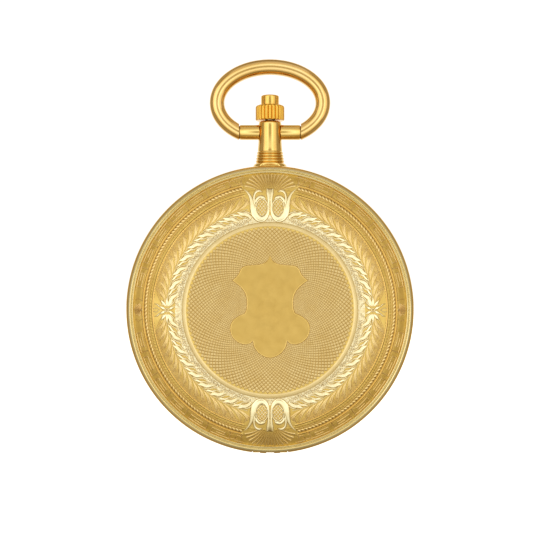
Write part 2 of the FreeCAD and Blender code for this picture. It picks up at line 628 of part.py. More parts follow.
def click_parts():
    to_ratchet = bearing(CLICK, BARREL)
    nose = polar(CLICK, 1.62, to_ratchet + 6)
    body = fused(disc(CLICK, 0.9, -2.02, RECESS_FLOOR - 0.03),
                 plate([polar(CLICK, 0.85, to_ratchet + 70), polar(CLICK, 0.85, to_ratchet - 70), nose], -2.02,
                       RECESS_FLOOR - 0.03))
    node("click", body.cut(disc(CLICK, 0.34, -3, 0)))
    node("click_screw", fused(disc(CLICK, 0.32, -2.04, BRIDGE_INNER), disc(CLICK, 0.75, -2.3, -2.04)))
    strip = ring(CLICK, 1.6, 1.45, -2.0, RECESS_FLOOR)
    node("click_spring", strip.common(block(CLICK[0] - 2, CLICK[0] + 0.2, CLICK[1] - 2, CLICK[1] + 2, -3, 0)))


# ---- going train and escapement ----

def train_wheel(at, teeth, module, z, pinion_teeth, pinion_module, pinion_z, meshes_with, driven_by, spokes=4):
    """A wheel and its pinion on one arbor. A wheel's tooth points at the pinion it drives, and its own pinion's gap at
    the wheel that drives it."""
    wheel = gear(at, teeth, module, *z, bearing(at, meshes_with))
    pitch = teeth * module / 2
    wheel = spoked(wheel, at, 0.82 * pitch, 0.24 * pitch, *z, spokes, 0.1 * pitch)
    pinion = gear(at, pinion_teeth, pinion_module, *pinion_z, bearing(at, driven_by) + 180 / pinion_teeth, add=0.7)
    return wheel, pinion


def going_train():
    wheel, pinion = train_wheel(CENTRE, 64, 0.17, (-1.1, -0.97), 12, 0.2, (-0.2, 0.26), THIRD, BARREL)
    core = fused(disc(CENTRE, 0.3, -1.2, 2.75), disc(CENTRE, PIVOT_R, -1.5, -1.2), disc(CENTRE, 0.45, -1.0, -0.2))
    node("centre_wheel", fused(wheel, pinion, core))
    wheel, pinion = train_wheel(THIRD, 60, 0.15, (-0.5, -0.37), 8, 0.17, (-1.15, -0.88), FOURTH, CENTRE)
    node("third_wheel", fused(wheel, pinion, arbor(THIRD, BRIDGE_INNER + 0.03, PLATE_TRAIN_SIDE - 0.03)))
    wheel, pinion = train_wheel(FOURTH, 60, 0.13, (-0.1, 0.03), 8, 0.15, (-0.62, -0.27), ESCAPE, THIRD)
    long_arbor = fused(arbor(FOURTH, BRIDGE_INNER + 0.03, PLATE_TRAIN_SIDE - 0.03), disc(FOURTH, PIVOT_R, 0, 2.2),
                       disc(FOURTH, ARBOR_R, 1.65, 2.3))
    node("fourth_wheel", fused(wheel, pinion, long_arbor))
    node("escape_wheel", escape_wheel())


def escape_wheel():
    """Fifteen raking club teeth on a light rim, with a six-leaf pinion."""
    z = (-0.75, -0.6)
    points = []
    for i in range(15):
        a = i * 24 + 8
        points += [polar(ESCAPE, 2.0, a), polar(ESCAPE, 2.5, a + 7), polar(ESCAPE, 2.6, a + 11), polar(ESCAPE, 2.0, a + 9)]
    wheel = spoked(plate(points, *z), ESCAPE, 1.75, 0.6, *z, 4, 0.3)
    pinion = gear(ESCAPE, 6, 0.13, -0.22, 0.14, bearing(ESCAPE, FOURTH) + 30, add=0.7)
    return fused(wheel, pinion, arbor(ESCAPE, BRIDGE_INNER + 0.03, PLATE_TRAIN_SIDE - 0.03))


def pallet_fork():
    """The lever: two arms that carry the pallet stones behind the escape wheel, and a fork beside the roller."""
    z = (-0.99, -0.82)
    to_balance = bearing(PALLET, BALANCE)
    to_escape = bearing(PALLET, ESCAPE)
    reach = 4.15
    stem = plate([polar(PALLET, 0.5, to_balance + 80), polar(PALLET, reach, to_balance + 3),
                  polar(PALLET, reach, to_balance - 3), polar(PALLET, 0.5, to_balance - 80)], *z)
    horns = []
    for side in (1, -1):
        root = polar(PALLET, reach - 0.25, to_balance)
        horns.append(plate([polar(root, 0.12, to_balance + side * 90), polar(PALLET, reach + 0.45, to_balance + side * 3.2),
                            polar(PALLET, reach + 0.35, to_balance + side * 7.5), polar(root, 0.45, to_balance + side * 100)],
                           *z))
    arms = []
    for side in (1, -1):
        tip = polar(PALLET, 1.75, to_escape + side * 58)
        arms.append(plate([polar(PALLET, 0.5, to_escape + side * 10), polar(PALLET, 0.5, to_escape + side * 120),
                           polar(tip, 0.3, to_escape + side * 100), polar(tip, 0.3, to_escape - side * 60)], *z))
    body = fused(stem, *horns, *arms, disc(PALLET, 0.5, *z))
    return fused(body, arbor(PALLET, -1.37, PLATE_TRAIN_SIDE - 0.03))


def pallet_stones():
    to_escape = bearing(PALLET, ESCAPE)
    stones = []
    for side in (1, -1):
        tip = polar(PALLET, 1.75, to_escape + side * 58)
        stone = block(-0.6, -0.12, -0.13, 0.13, -0.815, -0.56)
        stone.rotate(V(0, 0, 0), V(0, 0, 1), bearing(tip, ESCAPE))
        stone.translate(V(tip[0], tip[1], 0))
        stones.append(stone)
    return Part.makeCompound(stones)


def balance_parts():
    z = (-1.75, -1.35)
    rim = ring(BALANCE, 4.3, 3.9, *z)
    arms = []
    for i in range(3):
        arm = block(0, 4.0, -0.22, 0.22, -1.62, -1.46)
        arm.rotate(V(0, 0, 0), V(0, 0, 1), i * 120 + 30)
        arm.translate(V(BALANCE[0], BALANCE[1], 0))
        arms.append(arm)
    node("balance_wheel", fused(rim, *arms, disc(BALANCE, 0.7, -1.65, -1.4)).cut(disc(BALANCE, 0.25, -3, 0)))
    screws = []
    for i in range(12):
        stud = Part.makeCylinder(0.17, 0.3, V(4.3, 0, -1.55), V(1, 0, 0))
        stud.rotate(V(0, 0, 0), V(0, 0, 1), i * 30 + 15)
        stud.translate(V(BALANCE[0], BALANCE[1], 0))
        screws.append(stud)
    node("balance_screws", Part.makeCompound(screws))
    staff = fused(disc(BALANCE, 0.25, -1.9, -0.1), disc(BALANCE, PIVOT_R, -2.4, 0.5), disc(BALANCE, 0.18, -2.1, 0.25))
    node("balance_staff", staff)
    pin_at = polar(BALANCE, 0.72, bearing(BALANCE, PALLET))
    node("roller", fused(ring(BALANCE, 0.95, 0.25, -0.5, -0.36), disc(pin_at, 0.14, -0.75, -0.45)))
    node("hairspring", spiral(BALANCE, 0.75, 2.9, 7, 0.05, -1.98, -1.84))


# ---- screws ----

def bridge_screws():
    """The identical screws of the bridges and of the balance cock."""
    heads = [bridge_screw(at, BRIDGE_BACK) for at in BRIDGE_SCREWS]
    heads.append(bridge_screw(COCK_FOOT, COCK_Z[0]))
    return Part.makeCompound(heads)


def build():
    node("front_cover", front_cover())
    node("back_cover", back_cover())
    node("case_middle", case_middle())
    node("front_hinge_pin", hinge_pin(HINGE_Z))
    node("back_hinge_pin", hinge_pin(-HINGE_Z))
    node("bezel", bezel())
    node("crystal", crystal())
    node("rear_bezel", rear_bezel())
    node("rear_crystal", rear_crystal())
    node("dial_flange", dial_flange())
    node("lift_spring", lift_spring())
    node("neck", neck())
    node("bow_sleeves", bow_sleeves())
    node("bow_pins", bow_pins())
    node("bow", bow())
    node("crown", crown())
    node("winding_stem", winding_stem())
    node("crown_button", crown_button())
    node("button_spring", button_spring())
    node("cover_catch", cover_catch())
    node("dial", dial())
    hands()
    motion_works()
    node("movement_ring", movement_ring())
    node("main_plate", main_plate())
    node("barrel_bridge", barrel_bridge())
    node("train_bridge", train_bridge())
    node("pallet_bridge", pallet_bridge())
    node("balance_cock", balance_cock())
    barrel_parts()
    crown_wheel_parts()
    keyless_works()
    click_parts()
    going_train()
    node("pallet_fork", pallet_fork())
    node("pallet_stones", pallet_stones())
    balance_parts()
    node("jewels", jewels())
    node("bridge_screws", bridge_screws())


def in_row_frame(shape):
    moved = shape.copy()
    moved.rotate(V(0, 0, 0), V(1, 0, 0), 90)
    moved.translate(V(0, 0, -(BOW_CENTRE_Y + BOW_HALF_HEIGHT - BOW_WIRE_R)))
    return moved


build()
os.makedirs("parts", exist_ok=True)
for name, shape in NODES.items():
    placed = in_row_frame(shape)
    solids = placed.Solids
    print(f"{name:22s} solids {len(solids):2d} valid {placed.isValid()} volume {placed.Volume:9.3f} mm3")
    placed.exportStep(os.path.join("parts", name + ".step"))
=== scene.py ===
"""The looks of a full-hunter pocket watch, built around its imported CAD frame.

Most shapes are worked out in the watch's own coordinates, in millimetres from the centre of the case: x to the
right, y towards 12 o'clock and z out of the dial. put() turns them into the row frame. Angles on the covers
are in degrees clockwise from 12 o'clock.
"""

import json
import math

import bmesh
import bpy
import numpy as np
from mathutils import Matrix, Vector


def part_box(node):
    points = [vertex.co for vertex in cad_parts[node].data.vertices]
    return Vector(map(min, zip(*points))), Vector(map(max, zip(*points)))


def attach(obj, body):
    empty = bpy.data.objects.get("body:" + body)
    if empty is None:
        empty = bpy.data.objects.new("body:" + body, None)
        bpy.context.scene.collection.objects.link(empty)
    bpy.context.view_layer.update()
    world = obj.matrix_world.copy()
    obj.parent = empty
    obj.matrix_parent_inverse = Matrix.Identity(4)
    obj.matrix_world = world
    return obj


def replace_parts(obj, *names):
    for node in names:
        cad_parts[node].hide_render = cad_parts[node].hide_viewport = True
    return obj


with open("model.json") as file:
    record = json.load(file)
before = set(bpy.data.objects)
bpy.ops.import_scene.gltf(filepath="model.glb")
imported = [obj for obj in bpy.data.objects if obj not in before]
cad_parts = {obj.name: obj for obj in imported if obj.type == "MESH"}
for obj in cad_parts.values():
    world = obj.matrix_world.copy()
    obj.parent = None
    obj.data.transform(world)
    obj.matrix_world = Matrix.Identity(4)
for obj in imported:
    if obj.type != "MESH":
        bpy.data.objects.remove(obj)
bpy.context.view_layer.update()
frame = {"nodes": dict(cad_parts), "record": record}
SCENE = bpy.context.scene
rng = np.random.default_rng(11)

lo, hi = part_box("front_cover")
CASE_Z = (lo.z + hi.z) / 2
CASE_R = (hi.x - lo.x) / 2 * 1000
FACE = -lo.y * 1000


def up(z):
    """A height in the row frame as the watch's own y."""
    return (z - CASE_Z) * 1000


def put(points, side=1):
    """Watch coordinates to the row frame. side -1 mirrors a piece of the front onto the back."""
    p = np.asarray(points, float).reshape(-1, 3)
    return np.stack([p[:, 0], -p[:, 2] * side, p[:, 1]], 1) * 0.001 + np.array([0, 0, CASE_Z])


def link(name, data):
    """A new object in the scene."""
    ob = bpy.data.objects.new(name, data)
    SCENE.collection.objects.link(ob)
    return ob


def piece(name, points, faces, body, material, smooth=True, side=1):
    """A mesh from points and faces that rides on a body."""
    me = bpy.data.meshes.new(name)
    faces = [tuple(f) for f in (faces.tolist() if isinstance(faces, np.ndarray) else faces)]
    if side < 0:
        faces = [f[::-1] for f in faces]
    me.from_pydata(put(points, side).tolist(), [], faces)
    me.validate()
    me.polygons.foreach_set("use_smooth", [smooth] * len(me.polygons))
    me.materials.append(material)
    me.update()
    ob = link(name, me)
    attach(ob, body)
    return ob


def sharpen(ob, degrees):
    """Keeps a piece's corners crisp where its faces meet at more than this angle."""
    me = ob.data
    bm = bmesh.new()
    bm.from_mesh(me)
    limit = math.radians(degrees)
    for e in bm.edges:
        e.smooth = len(e.link_faces) == 2 and e.calc_face_angle(0) < limit
    bm.to_mesh(me)
    bm.free()
    return ob


def grid_faces(rows, cols, wrap_rows=False, wrap_cols=False, first=0):
    """Quads between the points of a grid of rows and columns."""
    i = np.arange(rows if wrap_rows else rows - 1)[:, None]
    j = np.arange(cols if wrap_cols else cols - 1)[None, :]
    a = i * cols + j
    b = i * cols + (j + 1) % cols
    c = ((i + 1) % rows) * cols + (j + 1) % cols
    d = ((i + 1) % rows) * cols + j
    return np.stack(np.broadcast_arrays(a, b, c, d), -1).reshape(-1, 4) + first


def full_turn(n):
    """n angles right round a circle."""
    return np.linspace(0, 2 * np.pi, n, endpoint=False)


# ---- materials

def material(name, metallic=0.0, **sockets):
    """A material, its nodes and its shader, whose sockets are set by name."""
    mat = bpy.data.materials.new(name)
    mat.use_nodes = True
    bsdf = mat.node_tree.nodes["Principled BSDF"]
    bsdf.inputs["Metallic"].default_value = metallic
    for key, value in sockets.items():
        bsdf.inputs[key.replace("_", " ")].default_value = value
    return mat, mat.node_tree, bsdf


def join(source, target):
    """Links a node's output to another's input."""
    source.id_data.links.new(source, target)


def add(tree, kind, **settings):
    """A shader node, with its inputs and its own settings by name."""
    node = tree.nodes.new("ShaderNode" + kind)
    for key, value in settings.items():
        if key in node.inputs:
            node.inputs[key].default_value = value
        else:
            setattr(node, key, value)
    return node


def noise(tree, scale, detail=3.0, rough=0.5, stretch=None):
    """A noise texture in the object's own coordinates, whose features are about 1/scale metres across."""
    where = add(tree, "TexCoord").outputs["Object"]
    tex = add(tree, "TexNoise", Scale=scale, Detail=detail, Roughness=rough)
    if stretch:
        mapping = add(tree, "Mapping", Scale=stretch)
        join(where, mapping.inputs["Vector"])
        where = mapping.outputs[0]
    join(where, tex.inputs["Vector"])
    return tex.outputs["Fac"]


def ramp(tree, source, low, high, a=0.3, b=0.7):
    """Maps a factor to a number from low to high."""
    node = add(tree, "MapRange")
    for name, value in (("From Min", a), ("From Max", b), ("To Min", low), ("To Max", high)):
        node.inputs[name].default_value = value
    join(source, node.inputs["Value"])
    return node.outputs["Result"]


def tint(tree, source, dark, light, a=0.3, b=0.7):
    """A colour between dark and light, by a factor."""
    node = add(tree, "ValToRGB")
    for element, at, colour in zip(node.color_ramp.elements, (a, b), (dark, light)):
        element.position, element.color = at, (*colour, 1)
    join(source, node.inputs["Fac"])
    return node.outputs["Color"]


def blend(tree, factor, a, b):
    """A mix of two colours by a factor. Each is three numbers or a node's output."""
    node = add(tree, "Mix", data_type="RGBA")
    join(factor, node.inputs[0])
    for colour, target in ((a, node.inputs[6]), (b, node.inputs[7])):
        if isinstance(colour, tuple):
            target.default_value = (*colour, 1)
        else:
            join(colour, target)
    return node.outputs[2]


def bump(tree, bsdf, source, distance, strength=1.0, under=None):
    """Raises the surface by a factor, on top of another bump if there is one."""
    node = add(tree, "Bump", Distance=distance, Strength=strength)
    join(source, node.inputs["Height"])
    if under:
        join(under, node.inputs["Normal"])
    join(node.outputs[0], bsdf.inputs["Normal"])
    return node.outputs[0]


def metal(name, dark, light, rough, patch=900.0, scratch=0.0, grain=0.0, grain_scale=9000.0, stretch=None,
          painted_shade=None):
    """A metal with cloudy colour, uneven polish, fine scratches and, where asked for, a grained surface.

    The colour given for the foot of the relief is painted shade, darkening the crevices where the ornament
    meets the ground.
    """
    mat, tree, bsdf = material(name, 1.0)
    cloud = noise(tree, patch, 4.0, 0.6)
    colour = tint(tree, cloud, dark, light)
    # painted shade: the foot of the relief is darkened towards the given colour, by its height
    if painted_shade:
        rise = add(tree, "Attribute", attribute_name="rise")
        colour = blend(tree, ramp(tree, rise.outputs["Fac"], 0.0, 1.0, 0.05, 0.85), painted_shade, colour)
    join(colour, bsdf.inputs["Base Color"])
    haze = noise(tree, patch * 2.7, 5.0, 0.65)
    join(ramp(tree, haze, rough[0], rough[1]), bsdf.inputs["Roughness"])
    normal = None
    if scratch:
        lines = noise(tree, 2600.0, 6.0, 0.7, (1.0, 6.0, 0.12))
        normal = bump(tree, bsdf, lines, scratch, 0.6)
    if grain:
        bump(tree, bsdf, noise(tree, grain_scale, 3.0, 0.6, stretch), grain, 1.0, normal)
    return mat


GOLD = metal("gold_polished", (0.80, 0.54, 0.175), (0.88, 0.62, 0.245), (0.10, 0.20), 260.0, 1.5e-6)
GOLD_BOW = metal("gold_bow", (0.85, 0.56, 0.215), (0.93, 0.645, 0.30), (0.10, 0.20), 260.0, 1.5e-6)
# A near-black gold for the journals between barrels and bow: painted shadow in the seam.
GOLD_SEAM_SHADOW = metal("gold_painted_seam_shadow", (0.20, 0.11, 0.035), (0.27, 0.16, 0.06), (0.40, 0.50), 300.0)
GOLD_CROWN = metal("gold_crown", (0.77, 0.435, 0.068), (0.85, 0.52, 0.11), (0.12, 0.22), 700.0, 1e-6)
GOLD_BUTTON = metal("gold_button", (0.79, 0.49, 0.125), (0.87, 0.575, 0.18), (0.12, 0.22), 500.0, 1e-6)
# Paler than the case gold: painted highlight on the raised leaves and loops; its last colour is painted shade
# at their foot.
GOLD_RELIEF_LIT = metal("gold_relief_painted_highlight", (0.96, 0.80, 0.50), (0.98, 0.87, 0.62), (0.18, 0.28), 500.0, grain=3e-6,
                    painted_shade=(0.36, 0.20, 0.05))
# The chased gold's last colour is painted shade at the foot of the chasing.
GOLD_CHASED = metal("gold_chased", (0.84, 0.60, 0.265), (0.90, 0.68, 0.345), (0.20, 0.30), 500.0, grain=3e-6,
                    painted_shade=(0.46, 0.27, 0.065))
GOLD_BEVEL = metal("gold_bevel", (0.66, 0.48, 0.23), (0.72, 0.55, 0.29), (0.16, 0.26), 300.0, 1e-6)
# Palest copy of the case gold: painted highlight for the bright beads of the rim.
GOLD_RIM_LIT = metal("gold_rim_painted_highlight", (0.98, 0.85, 0.54), (0.99, 0.90, 0.61), (0.12, 0.20), 260.0, 1.5e-6)
# Darker than the case gold: painted shade on the ground between the raised ornament; its roughness and grain
# are the ground's own matting.
GOLD_GROUND_SHADED = metal("gold_ground_painted_shade", (0.70, 0.475, 0.13), (0.82, 0.59, 0.20), (0.34, 0.46), 500.0, grain=3e-5,
                    grain_scale=7000.0)
# Its cloud runs from dark gold to near-white: painted glints and shade of the punched dots; the grain bump is
# the punching itself.
GOLD_STIPPLE_GLINTS = metal("gold_stipple_painted_glints", (0.72, 0.52, 0.24), (0.99, 0.92, 0.70), (0.28, 0.40), 3400.0, grain=4e-5,
                     grain_scale=5200.0)
# The engine-turned gold's last colour is painted shade in the cuts between its grains.
GOLD_ENGINE = metal("gold_engine_turned", (0.75, 0.54, 0.25), (0.83, 0.635, 0.335), (0.24, 0.34), 420.0,
                    grain=2e-6, painted_shade=(0.29, 0.155, 0.036))
GOLD_SATIN = metal("gold_satin", (0.75, 0.50, 0.155), (0.79, 0.54, 0.18), (0.30, 0.38), 300.0, grain=1.5e-6,
                   grain_scale=5200.0, stretch=(1.0, 1.0, 0.06))
GOLD_INSIDE = metal("gold_inside", (0.80, 0.53, 0.19), (0.86, 0.61, 0.25), (0.14, 0.22), 300.0, 1e-6)
STEEL = metal("steel_polished", (0.52, 0.53, 0.55), (0.62, 0.62, 0.63), (0.14, 0.24), 800.0, 1e-6)
BLUED = metal("steel_blued", (0.010, 0.024, 0.16), (0.022, 0.05, 0.30), (0.10, 0.18), 900.0)
NICKEL = metal("nickel_striped", (0.60, 0.58, 0.54), (0.70, 0.68, 0.64), (0.20, 0.30), 700.0)
GILT = metal("gilt_brass", (0.76, 0.52, 0.19), (0.84, 0.60, 0.26), (0.20, 0.30), 900.0, 1.5e-6)


def glass(name, colour, ior):
    """A clear material, tinted by a colour."""
    tinted = (*colour, 1)
    mat, tree, bsdf = material(name, Base_Color=tinted, Roughness=0.02, IOR=ior, Transmission_Weight=1.0)
    bump(tree, bsdf, noise(tree, 120.0, 2.0), 4e-6, 0.3)
    return mat


CRYSTAL = glass("crystal_glass", (0.97, 0.98, 0.98), 1.45)
RUBY = glass("ruby", (0.80, 0.04, 0.14), 1.76)
ENAMEL, tree, bsdf = material("enamel_white", Roughness=0.16, Coat_Weight=0.6, Coat_Roughness=0.04)
join(tint(tree, noise(tree, 240.0, 4.0), (0.80, 0.78, 0.73), (0.87, 0.855, 0.81)), bsdf.inputs["Base Color"])
bump(tree, bsdf, noise(tree, 900.0, 2.0), 6e-6, 0.4)
INK, tree, bsdf = material("printed_black", Roughness=0.42)
black = tint(tree, noise(tree, 3000.0, 4.0), (0.006, 0.006, 0.008), (0.02, 0.02, 0.022))
join(black, bsdf.inputs["Base Color"])


# ---- the surface that the covers' ornament stands on

def dome(r):
    """The height of the engraved ground at radius r, with the turned rings left out."""
    return np.interp(r, DOME_R, DOME_H)


def circle_height(r, a, b, c):
    """The height at radius r on the circle through three points."""
    (x1, y1), (x2, y2), (x3, y3) = a, b, c
    d = 2 * (x1 * (y2 - y3) + x2 * (y3 - y1) + x3 * (y1 - y2))
    s1, s2, s3 = x1 * x1 + y1 * y1, x2 * x2 + y2 * y2, x3 * x3 + y3 * y3
    ux = (s1 * (y2 - y3) + s2 * (y3 - y1) + s3 * (y1 - y2)) / d
    uy = (s1 * (x3 - x2) + s2 * (x1 - x3) + s3 * (x2 - x1)) / d
    return uy + np.sqrt((x1 - ux) ** 2 + (y1 - uy) ** 2 - (r - ux) ** 2)


SUNK = 0.17              # the ground lies this far below the tops of the ornament
DISC_R, BEVEL_R = 14.3, 15.05
on_disc, on_dome = np.linspace(0, DISC_R, 24), np.linspace(15.0, 23.62, 80)
DOME_R = np.concatenate([on_disc, on_dome])
DOME_H = np.concatenate([
    FACE - 0.16 - 0.07 * (on_disc / DISC_R) ** 2,
    circle_height(on_dome, (15.0, FACE), (19.30, FACE - 0.82), (23.34, FACE - 2.44)) - SUNK])


def ground(r, rise=0.0):
    """A profile point on the ground, or above it."""
    return r, float(dome(r)) + rise


def hump(centre, half, height):
    """Profile points over a turned ring of round section."""
    return [ground(r, height * math.sqrt(max(0.0, 1 - ((r - centre) / half) ** 2)))
            for r in np.linspace(centre - half, centre + half, 9)]


def cover_profile():
    """(radius, height) from the centre of a cover, over its rings and rim, and back along the inside."""
    out = [ground(r) for r in np.linspace(0.0, DISC_R - 0.06, 12)]
    d = float(dome(DISC_R))
    out += [(14.30, d - 0.015), (14.34, d + 0.005), (14.60, d + 0.055), (14.90, d + 0.12), (14.98, d + 0.13),
            (15.04, d + 0.11), (15.09, d + 0.03)]
    out += [ground(r) for r in np.linspace(15.15, 20.02, 28)]
    out += hump(20.18, 0.13, 0.11)
    out += [ground(20.33, -0.02), ground(20.82, -0.02)]
    out += hump(20.93, 0.09, 0.09)
    out += [ground(21.04, -0.05), ground(21.4, -0.08), ground(21.84, -0.05)]
    out += hump(21.96, 0.09, 0.09)
    out += [ground(r, -0.01) for r in np.linspace(22.08, 23.56, 12)]
    rim = FACE - 2.5         # the points below are (radius, distance below this)
    edge = ((23.60, 0.30), (23.63, 0.14), (23.69, 0.03), (23.79, -0.02), (23.90, 0.03), (23.97, 0.12),
            (24.02, 0.21), (24.12, 0.21), (24.17, 0.10), (24.31, 0.03), (24.42, 0.08), (24.50, 0.20),
            (24.56, 0.25), (24.70, 0.34), (24.83, 0.47), (24.93, 0.66), (24.98, 0.84),
            (CASE_R - 0.005, 0.93), (24.97, 0.985), (24.6, 1.0), (24.02, 1.0), (24.0, 0.98), (24.0, 0.66),
            (23.9, 0.63))
    out += [(r, rim - drop) for r, drop in edge]
    inner = np.linspace(23.1, 15.0, 24)
    height = circle_height(inner, (23.1, 3.22), (19.1, 4.77), (15.0, FACE - 0.5))
    out += [(r, float(h)) for r, h in zip(inner, height)]
    out += [(r, FACE - 0.5) for r in (14.0, 7.0, 0.02)]
    return np.array(out)


HINGE_Y, HINGE_HEIGHT, KNUCKLE_R, KNUCKLE = -24.25, 2.6, 0.58, 1.2
MIDDLE_GAP, SIDE_GAP_IN, SIDE_GAP_OUT = 0.64, 1.76, 3.04    # edges of the gaps for the case's knuckles
GAP_FLOOR = 3.27
ORNAMENT_HALF = 12.3     # degrees

COVER_METALS = (GOLD, GOLD_GROUND_SHADED, GOLD_STIPPLE_GLINTS, GOLD_INSIDE, GOLD_BEVEL, GOLD_RIM_LIT)
PLAIN, GROUND, STIPPLE, INSIDE, BEVEL, RIM = range(len(COVER_METALS))
# The last band gives the rim's groove the darker bevel gold: painted shade for the line between the rim's two
# beads.
BANDS = ((0.0, DISC_R, GROUND), (DISC_R, BEVEL_R, BEVEL), (BEVEL_R, 16.15, STIPPLE), (16.15, 20.03, GROUND),
         (20.34, 20.81, GROUND), (21.03, 21.83, GROUND), (22.07, 23.6, GROUND), (23.6, 24.6, RIM),
         (24.02, 24.12, BEVEL))


def away_from_ornaments(angles):
    """0 under the ornaments at 12 and 6 o'clock, where the turned rings stop, and 1 elsewhere."""
    from_axis = np.abs((np.asarray(angles) + 90) % 180 - 90)
    return np.clip(from_axis - ORNAMENT_HALF, 0, 1)


def cover_shell(name, side, body):
    """A cover's metal: turned rings, rim, inside, and the notches that clear the case's knuckles."""
    profile = cover_profile()
    angles = np.linspace(0, 360, 640, endpoint=False)
    gap_edges = (-SIDE_GAP_OUT, -SIDE_GAP_IN, -MIDDLE_GAP, MIDDLE_GAP, SIDE_GAP_IN, SIDE_GAP_OUT)
    edge = [180 + math.degrees(math.atan2(x, -HINGE_Y)) for x in gap_edges]
    angles = np.sort(np.concatenate([angles, edge, np.array(edge) + 0.002]))
    x_at = np.abs(np.tan(np.radians(angles - 180)) * HINGE_Y)
    slack = 0.0002
    notch = (np.abs(angles - 180) < 10) & (
        (x_at < MIDDLE_GAP + slack) | ((x_at > SIDE_GAP_IN - slack / 2) & (x_at < SIDE_GAP_OUT + slack)))
    r = np.repeat(profile[None, :, 0], len(angles), 0)
    h = np.repeat(profile[None, :, 1], len(angles), 0)
    rings = (r > 20.02) & (r < 22.06) & (np.arange(len(profile))[None] < np.argmax(profile[:, 0]))
    h = np.where(rings, dome(r) + (h - dome(r)) * away_from_ornaments(angles)[:, None], h)
    low = notch[:, None] & (r > 23.5) & (h < GAP_FLOOR)
    h[low] = GAP_FLOOR
    r[low & (r > 24.72)] = 24.72
    a = np.radians(angles)[:, None]
    points = np.stack([r * np.sin(a), r * np.cos(a), h], -1)
    rows, cols = len(angles), len(profile)
    ob = piece(name, points.reshape(-1, 3), grid_faces(rows, cols, wrap_rows=True), body, GOLD, side=side)
    for mat in COVER_METALS[1:]:
        ob.data.materials.append(mat)
    mid = (profile[:-1, 0] + profile[1:, 0]) / 2
    outside = np.arange(cols - 1) < np.argmax(profile[:, 0])
    index = np.where(outside | (mid >= 23.95), PLAIN, INSIDE)
    for r0, r1, metal_of_band in BANDS:
        index[outside & (mid > r0) & (mid < r1)] = metal_of_band
    index = np.tile(index, (rows, 1))
    index[(away_from_ornaments(angles) < 0.5)[:, None] & outside & (mid > 20.0) & (mid < 22.1)] = GROUND
    ob.data.polygons.foreach_set("material_index", index.ravel())
    sharpen(ob, 40)
    return ob


# ---- relief

def crosswise(path, closed=False):
    """Unit vectors to the right of a path, at right angles to it."""
    t = np.roll(path, -1, 0) - np.roll(path, 1, 0) if closed else np.gradient(path, axis=0)
    t /= np.maximum(np.linalg.norm(t, axis=1, keepdims=True), 1e-9)
    return np.stack([t[:, 1], -t[:, 0]], 1)


class Relief:
    """Raised ornament collected into one mesh. Points are (x, y, height above the ground)."""

    def __init__(self):
        self.points, self.faces, self.count = [], [], 0

    def add(self, points, faces):
        self.points.append(np.asarray(points, float).reshape(-1, 3))
        faces = faces.tolist() if isinstance(faces, np.ndarray) else faces
        self.faces += [tuple(i + self.count for i in f) for f in faces]
        self.count += len(self.points[-1])

    def band(self, theta, r, h):
        """A strip right round the cover, with a height for every angle and radius."""
        xy = polar(theta[:, None] + 0 * r[None], r[None] + 0 * theta[:, None])
        self.add(np.concatenate([xy, h[:, :, None]], 2), grid_faces(len(theta), len(r), wrap_rows=True))

    def ridge(self, path, width, height, n=6, vein=0.0, closed=False):
        """A raised line along a path, round across, with a groove down its middle if vein is above 0."""
        path = np.asarray(path, float)
        k = len(path)
        width = np.broadcast_to(np.asarray(width, float), (k,))
        height = np.broadcast_to(np.asarray(height, float), (k,))
        u = np.linspace(-1, 1, n + 1)
        shape = np.sqrt(np.maximum(0, 1 - u ** 2)) - vein * np.exp(-(u / 0.2) ** 2)
        xy = path[:, None] + crosswise(path, closed)[:, None] * (width[:, None] / 2 * u)[:, :, None]
        h = height[:, None] * shape[None] - 0.03 * (np.abs(u) > 0.999)
        self.add(np.concatenate([xy, h[:, :, None]], 2), grid_faces(k, n + 1, wrap_rows=closed))

    def leaf(self, path, width, height, n=8, vein=0.35, blunt=0.7, k=14):
        """A leaf along a curve: full in the middle and pointed at its tip."""
        path = bend(path, k)
        s = np.linspace(0, 1, k)
        full = np.sin(np.pi * np.clip(s, 0.02, 0.985) ** blunt) ** 0.75
        self.ridge(path, width * full, height * (0.35 + 0.65 * full), n, vein)

    def bead(self, x, y, radius, height, n=8):
        """A small round boss."""
        a = full_turn(n)
        rings = [(1.0, -0.02), (0.85, 0.55), (0.5, 0.88)]
        points = [(x + radius * q * math.cos(b), y + radius * q * math.sin(b), height * h)
                  for q, h in rings for b in a]
        faces = grid_faces(3, n, wrap_cols=True).tolist()
        points.append((x, y, height))
        faces += [(2 * n + i, 2 * n + (i + 1) % n, 3 * n) for i in range(n)]
        self.add(points, faces)

    def mirrored(self, x=1, y=1):
        """Adds a mirror image of everything so far."""
        points = np.concatenate(self.points) * np.array([x, y, 1])
        self.add(points, [f[::-1] if x * y < 0 else f for f in self.faces])

    def quartered(self):
        """Repeats one quarter's ornament in the other three."""
        self.mirrored(x=-1)
        self.mirrored(y=-1)

    def build(self, name, body, mat, side=1, smooth=True, full=0.12):
        """full is the height that counts as the relief's top, as a number or a function of the radius."""
        points = np.concatenate(self.points)
        r = np.hypot(points[:, 0], points[:, 1])
        rise = np.clip(points[:, 2] / (full(r) if callable(full) else full), 0, 1)
        points[:, 2] += dome(r)
        ob = piece(name, points, self.faces, body, mat, smooth, side)
        ob.data.attributes.new("rise", "FLOAT", "POINT").data.foreach_set("value", rise)
        bm = bmesh.new()
        bm.from_mesh(ob.data)
        outwards = -1 if side > 0 else 1
        wrong = [f for f in bm.faces if f.normal.y * outwards < -0.05]
        bmesh.ops.reverse_faces(bm, faces=wrong)
        bm.to_mesh(ob.data)
        bm.free()
        return ob


def turned_x(stations, n, y, z=0.0):
    """Rings of n points about an axis along x, from (x, radius) stations."""
    return [(x, y + r * math.cos(b), z + r * math.sin(b)) for x, r in stations for b in full_turn(n)]


